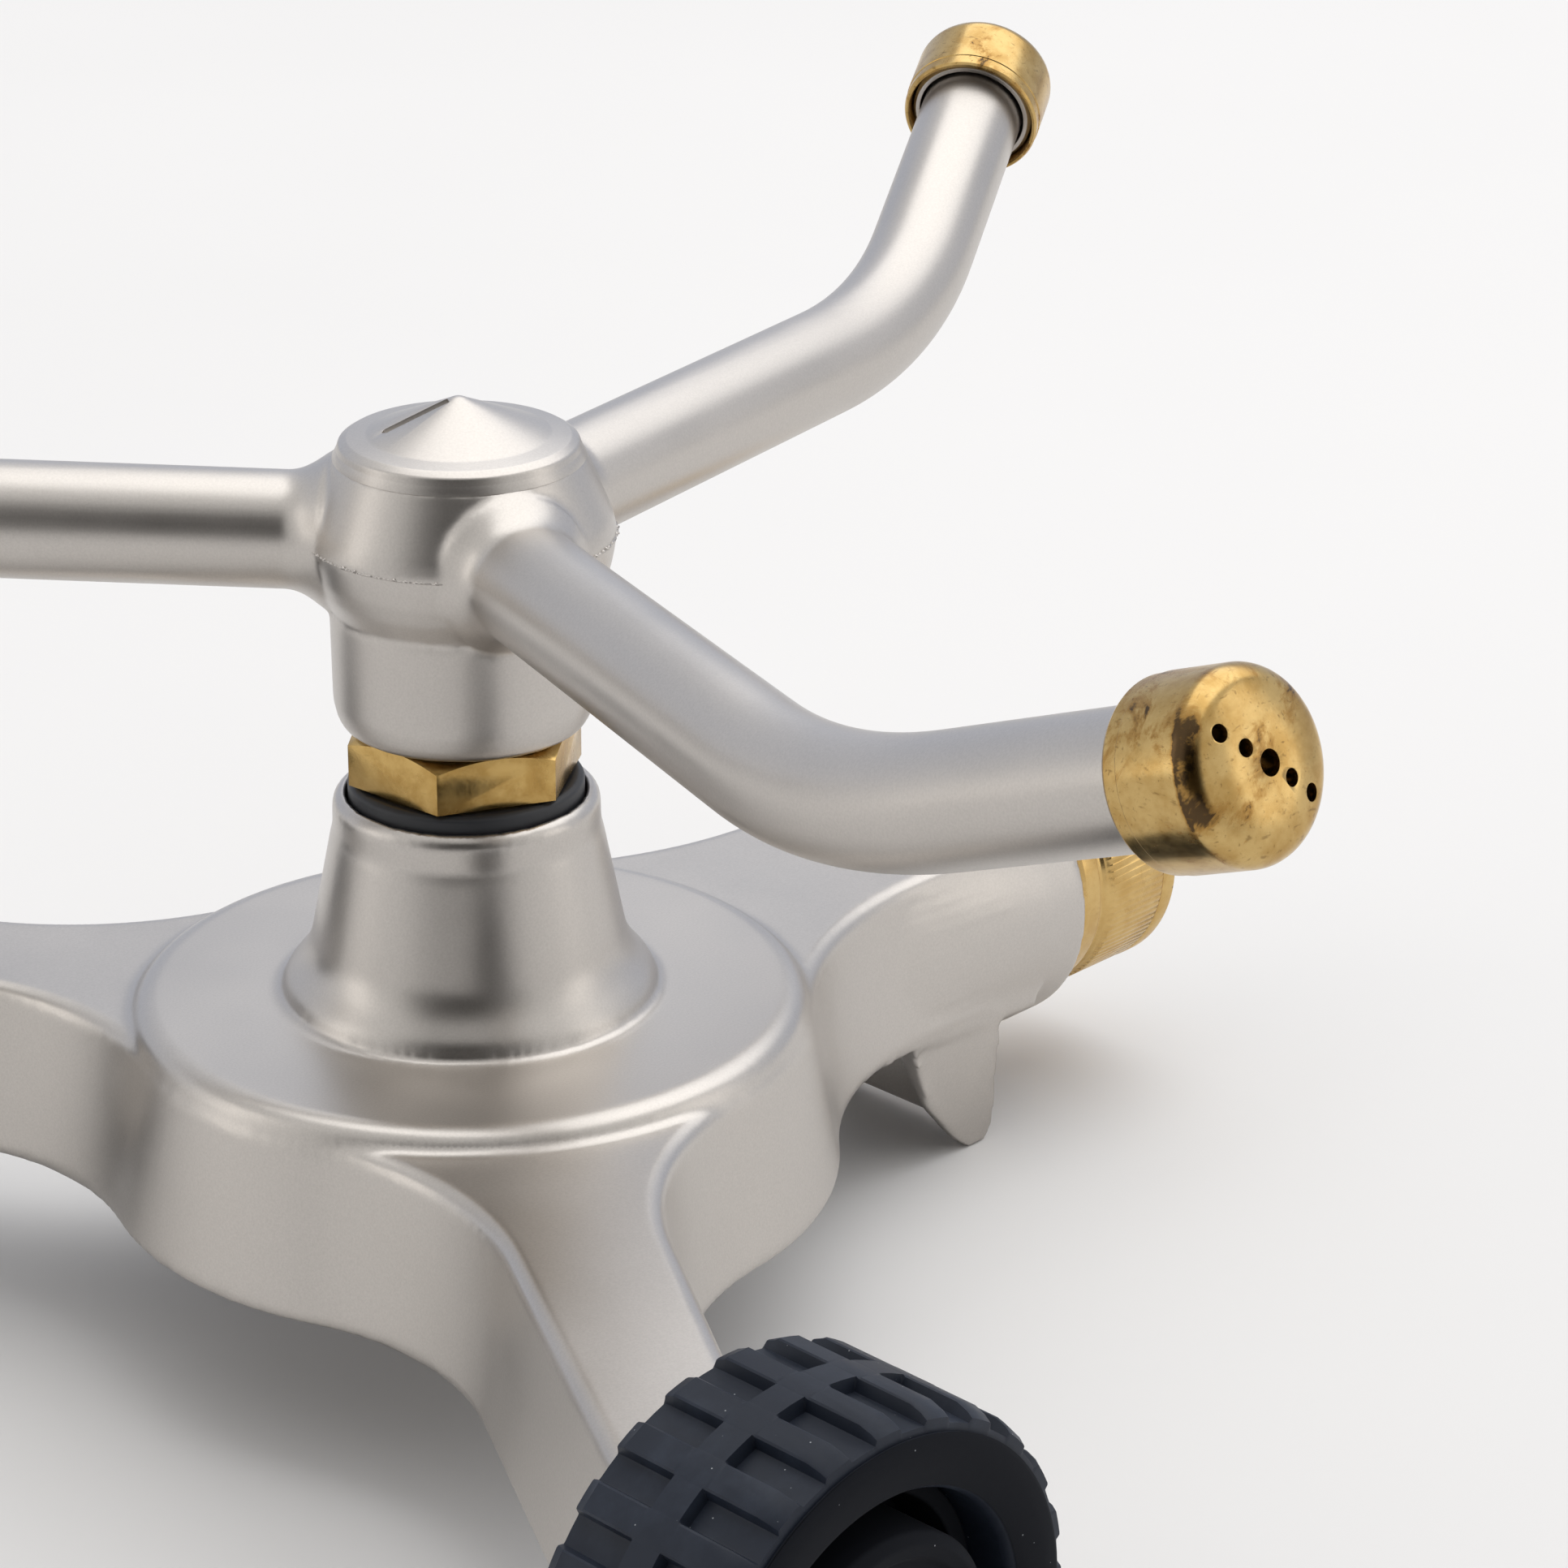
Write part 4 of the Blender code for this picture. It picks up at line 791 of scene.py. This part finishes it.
CONE_TOP = 63.85
hub_cap = turned("cone_cap", [
    (0, CONE_TOP), (0.6, CONE_TOP - 0.12), (1.2, CONE_TOP - 0.4), (9.2, 60.1, 1.6), (11.2, 59.8, 0.6),
    (12.0, 59.3, 0.6), (12.2, 58.6, 0.6), (12.64, 57.72), (12.3, 57.6), (11.0, 57.6), (11.0, 58.0),
    (9.3, 58.0), (9.3, 52.3), (7.6, 52.3), (7.6, 57.2), (0, 57.8)], rotor_frame, 128, solid=True)
groove_frame = rotor_frame @ Matrix.Rotation(radians(20.0), 4, "Z")
cut(hub_cap, lofted("groove", [
    [(1.0, -w, z), (7.4, -w, z - 2.6), (7.8, 0, z - 2.75), (7.4, w, z - 2.6), (1.0, w, z)]
    for w, z in ((0.48, 62.2), (0.62, 64.6))], groove_frame))
break_edges(hub_cap, 0.12, 40, 40)
dress(hub_cap, satin_nickel, "rotor", "satin_nickel", "hub_cap")


# Nozzles: a brass cup screwed on each arm's end over a threaded ferrule, with a flat gasket inside.
# The cup is turned with a big round between its side and its face, and five jets are drilled in a row.

level = Vector((0, 0, 1)).cross(outer_run).normalized()
nozzle_axes = Matrix((level, outer_run.cross(level), outer_run)).transposed().to_4x4()
JET_SPACING, JET_R, JET_MIDDLE_R, JET_ROW_TILT = 2.75, 0.75, 1.1, radians(140.0)
FERRULE_TOP, FERRULE_END, FERRULE_PITCH, FERRULE_R = 47.2, 40.9, 0.7, 7.15
jet_step = Vector((cos(JET_ROW_TILT), sin(JET_ROW_TILT), 0.0)) * JET_SPACING * MM
# A band just below every cup's round and a patch on the front cup's shoulder are darkened in the brass
# colour. Each is tarnish, and also a painted dark reflection.
thumb_tarnish_and_painted_reflection = arm_frames[1].to_3x3() @ nozzle_axes.to_3x3() @ Vector((-7.5, 1.3, 48.8))
rim_tarnish_and_painted_reflection = (Vector((0.0, 0.0, 0.0)), 100.0, 48.1, 49.2, 0.05)
nozzle_brass = brass_finish("handled_brass_cup_painted_reflection", "#c8aa70", "#b29055", "#382f28", 0.84, 0.85, 0.5, [
    rim_tarnish_and_painted_reflection, (thumb_tarnish_and_painted_reflection, 5.3, 48.45, 50.5, 0.2)])
for k, turn in enumerate(arm_frames):
    number = str(k + 1)
    where = turn @ Matrix.Translation(corner * MM) @ nozzle_axes
    cup = turned("nozzle_cup_" + number, [
        (0, 50.75), (5.0, 50.4, 14.0), (8.16, 49.6, 2.3), (8.16, 41.9, 0.1), (8.06, 41.8, 0.1),
        (8.06, 40.5, 0.2), (7.85, 40.15, 0.1), (7.55, 40.15, 0.1), (7.4, 40.6), (7.4, 48.7), (0, 48.7)],
        where, 128, solid=True, fillet_steps=12)
    cut(cup, *[rod("jet_" + str(j), JET_R if j else JET_MIDDLE_R, 46.0, 52.0,
                   where @ Matrix.Translation(jet_step * j), 32) for j in range(-2, 3)])
    break_edges(cup, 0.09, 50, 35)
    dress(cup, nozzle_brass, "nozzle_" + number, "brass", "nozzle_cap_" + number)
    ferrule_corners = [(6.3, FERRULE_TOP)]
    height = FERRULE_TOP - 0.3
    while height > FERRULE_END + 0.3:
        ferrule_corners += [(FERRULE_R, height), (FERRULE_R - 0.3, height - FERRULE_PITCH / 2)]
        height -= FERRULE_PITCH
    ferrule_corners += [(6.8, FERRULE_END, 0.1), (6.3, FERRULE_END, 0.1)]
    ferrule = turned("ferrule_" + number, ferrule_corners, where, 64)
    ferrule.data.set_sharp_from_angle(angle=radians(40))
    dress(ferrule, satin_nickel, "rotor", "satin_nickel", "arm_ferrule_" + number)


# Wheels: a moulded rubber tyre with blocks either side of a middle rib, on a plastic centre with a deep
# recess and a hub boss. The black has a cold cast and holds white dust.

LUG_DEPTH, LUGS, WHEEL_PHASE, MIDDLE_RIB = 1.3, 24, 1.9, 2.0
FIELD = 360.0 / LUGS
FLOOR_R = WHEEL_R - LUG_DEPTH
# A tread station is its place across the tyre, its radius, and its share of the lugs' depth, or the middle
# rib, which is full all round. A lug station is an angle in one field of the tread and a share of the depth.
tread_stations = [
    (0.0, 17.8, 0.0), (0.0, 21.9, 0.0), (0.15, 22.5, 0.3), (0.45, FLOOR_R, 0.55), (1.3, FLOOR_R, 0.85),
    (1.6, FLOOR_R, 1.0), (7.1, FLOOR_R, 1.0), (7.35, FLOOR_R, 1.0), (7.6, FLOOR_R, MIDDLE_RIB),
    (10.75, FLOOR_R, MIDDLE_RIB), (11.0, FLOOR_R, 1.0), (11.25, FLOOR_R, 1.0), (16.9, FLOOR_R, 1.0),
    (18.2, FLOOR_R, 0.72), (18.95, FLOOR_R, 0.4), (19.05, 22.6, 0.1), (19.1, 22.2, 0.0), (19.3, 22.15, 0.0),
    (19.45, 22.3, 0.0), (19.68, 21.9, 0.0), (19.75, 20.4, 0.0), (19.6, 18.4, 0.0), (19.25, 17.5, 0.0),
    (18.6, 17.05, 0.0), (17.8, 17.0, 0.0), (2.6, 17.0, 0.0), (0.8, 17.0, 0.0)]
lug_stations = [
    (0.0, 0.5), (0.3, 0.9), (0.8, 1.0), (3.75, 1.0), (6.7, 1.0), (7.2, 0.9), (7.5, 0.5), (7.8, 0.06),
    (8.3, 0.0), (11.25, 0.0), (14.2, 0.0), (14.7, 0.06)]


def tyre(name, where):
    """A tyre as rings of points, one ring for each station across it, raised where the lugs are."""
    bm = bmesh.new()
    rings = []
    for across, radius, lug in tread_stations:
        ring = []
        for field in range(LUGS):
            for offset, rise in lug_stations:
                angle = radians(field * FIELD + offset + FIELD / 2)
                out = radius + LUG_DEPTH * (1.0 if lug == MIDDLE_RIB else rise * lug)
                ring.append(bm.verts.new((out * cos(angle) * MM, out * sin(angle) * MM, across * MM)))
        rings.append(ring)
    skin(bm, rings + rings[:1])
    piece = placed(name, bm, where)
    piece.data.set_sharp_from_angle(angle=radians(32))
    return piece


def wheel_finish(name, colour, light, roughness, dust, matte_from):
    """Black rubber or plastic as moulded: fine skin, faint blue-grey bloom and specks of dust up to 0.2 mm
    across. Past a distance along the axle, in mm, it is matte from the etched mould, and its colour is
    darker."""
    dust_spacing = 1.1765
    material, tree, output = new_material(name)
    at = add(tree, "ShaderNodeTexCoord").outputs["Object"]
    fine = add(tree, "ShaderNodeTexNoise", {}, {
        "Vector": at, "Scale": scale_for(0.7143), "Detail": 4.0, "Roughness": 0.6})
    bloom = add(tree, "ShaderNodeTexNoise", {}, {
        "Vector": at, "Scale": scale_for(8.333), "Detail": 6.0, "Roughness": 0.65})
    shade = add(tree, "ShaderNodeMapRange", {"interpolation_type": "SMOOTHSTEP"},
                {0: bloom.outputs["Fac"], 1: 0.45, 2: 0.8, 3: 0.0, 4: 1.0})
    across = add(tree, "ShaderNodeSeparateXYZ", {}, {0: at})
    along = add(tree, "ShaderNodeMath", {"operation": "ABSOLUTE"}, {0: across.outputs["Y"]})
    outer = add(tree, "ShaderNodeMapRange", {}, {
        0: along.outputs[0], 1: (matte_from - 0.1) * MM, 2: (matte_from + 0.1) * MM, 3: 0.0, 4: 1.0})
    bloomed = add(tree, "ShaderNodeMix", {"data_type": "RGBA"},
                  {0: shade.outputs[0], 6: linear(colour), 7: linear(light)})
    tone = add(tree, "ShaderNodeMix", {"data_type": "RGBA"},
               {0: outer.outputs[0], 6: bloomed.outputs[2], 7: linear("#070b14")})
    cell = add(tree, "ShaderNodeTexVoronoi", {"feature": "F1"}, {
        "Vector": at, "Scale": scale_for(dust_spacing)})
    chance = add(tree, "ShaderNodeSeparateColor", {}, {0: cell.outputs["Color"]})
    here = add(tree, "ShaderNodeMath", {"operation": "GREATER_THAN"}, {0: chance.outputs[0], 1: dust})
    dot = add(tree, "ShaderNodeMapRange", {"interpolation_type": "SMOOTHSTEP"}, {
        0: cell.outputs["Distance"], 1: 0.0353 / dust_spacing, 2: 0.0941 / dust_spacing, 3: 0.8, 4: 0.0})
    specks = add(tree, "ShaderNodeMath", {"operation": "MULTIPLY"}, {0: here.outputs[0], 1: dot.outputs[0]})
    dusty = add(tree, "ShaderNodeMix", {"data_type": "RGBA"},
                {0: specks.outputs[0], 6: tone.outputs[2], 7: linear("#b9bdc2")})
    bump = add(tree, "ShaderNodeBump", {}, {
        "Strength": 0.35, "Distance": 0.00003, "Height": fine.outputs["Fac"]})
    etched = add(tree, "ShaderNodeMapRange", {},
                 {0: outer.outputs[0], 1: 0.0, 2: 1.0, 3: roughness, 4: 0.85})
    body = add(tree, "ShaderNodeBsdfPrincipled", {}, {
        "Base Color": dusty.outputs[2], "Roughness": etched.outputs[0], "Specular IOR Level": 0.25,
        "Normal": bump.outputs[0]})
    tree.links.new(body.outputs[0], output.inputs["Surface"])
    return material


tyre_rubber = wheel_finish("black_tyre_rubber", "#1f2531", "#2d3441", 0.48, 0.62, 19.15)
centre_plastic = wheel_finish("black_moulded_polypropylene", "#0c0e14", "#12151c", 0.6, 0.93, 2.0)
for side, still in axles.items():
    spun = still @ Matrix.Rotation(radians(WHEEL_PHASE), 4, "Z")
    dress(tyre("tyre_" + side, spun), tyre_rubber, "wheel_" + side, "tyre_black", "wheel_" + side + "_tyre")
    centre = turned("wheel_centre_" + side, [
        (7.4, 18.9, 0.4), (10.6, 18.9, 0.3), (11.2, 19.6, 0.4), (12.4, 19.8, 0.6), (13.4, 19.0, 0.6),
        (13.2, 8.0, 0.6), (15.0, 8.0, 0.4), (15.0, 14.4, 0.3), (16.7, 14.4, 0.3), (16.7, 2.4, 0.5),
        (12.0, 2.4, 0.5), (12.0, 6.4, 0.5), (6.5, 6.4, 0.5), (6.5, 0, 0.4), (AXLE_BORE_R, 0),
        (AXLE_BORE_R, 14.0), (7.4, 14.0)], spun, 96)
    dress(centre, centre_plastic, "wheel_" + side, "wheel_black", "wheel_" + side + "_hub")


# Axles: a steel pin pressed in each wheel leg, a washer behind the wheel and a push-on cap over the pin's
# end. All are zinc plated, which dulls and scratches as the brass does, in cool greys.

zinc_plate = brass_finish("zinc_plated_steel", "#b9bcc0", "#a9acb0", "#8b8d90", 0.97, 0.2, 0.1)
for side, still in axles.items():
    pin = turned("pin_" + side, [
        (0, 17.0), (2.5, 17.0), (3.0, 16.5), (3.0, -13.0), (0, -13.0)], still, 32, solid=True)
    ring = turned("pin_washer_" + side, [
        (6.2, -0.2, 0.1), (6.2, -1.0, 0.1), (AXLE_BORE_R, -1.0), (AXLE_BORE_R, -0.2)], still, 48)
    cap = turned("pin_cap_" + side, [
        (0, 19.1), (3.5, 18.9, 4), (6.2, 17.8, 1.2), (6.8, 16.6, 0.6), (6.8, 14.5, 0.2), (AXLE_BORE_R, 14.5),
        (AXLE_BORE_R, 17.3), (0, 17.3)], still, 64, solid=True)
    dress(pin, zinc_plate, "base", "steel", "axle_pin_" + side)
    dress(ring, zinc_plate, "base", "steel", "axle_washer_" + side)
    dress(cap, zinc_plate, "base", "steel", "axle_cap_" + side)


# Pieces inside the hub and the nozzles, which no side shows: the bearing sleeve turned from nylon, its
# plated washers, the brass nut and the rubber seals. They keep their plain shapes and get their finishes.

nylon, tree, output = new_material("natural_nylon")
at = add(tree, "ShaderNodeTexCoord").outputs["Object"]
haze = add(tree, "ShaderNodeTexNoise", {}, {"Vector": at, "Scale": scale_for(5.0), "Detail": 3.0})
tone = add(tree, "ShaderNodeMix", {"data_type": "RGBA"},
           {0: haze.outputs["Fac"], 6: linear("#dedbd0"), 7: linear("#e8e6dc")})
body = add(tree, "ShaderNodeBsdfPrincipled", {}, {
    "Base Color": tone.outputs[2], "Roughness": 0.45, "Subsurface Weight": 0.1, "Subsurface Scale": 0.002})
tree.links.new(body.outputs[0], output.inputs["Surface"])
inner_finishes = {
    "bearing_sleeve": nylon, "thrust_washer_lower": zinc_plate, "thrust_washer_upper": zinc_plate,
    "retaining_nut": hex_brass, "hub_cap_seal": nitrile, "nozzle_gasket_1": nitrile,
    "nozzle_gasket_2": nitrile, "nozzle_gasket_3": nitrile}
for node_name, finish in inner_finishes.items():
    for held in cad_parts[node_name].material_slots:
        held.material = finish
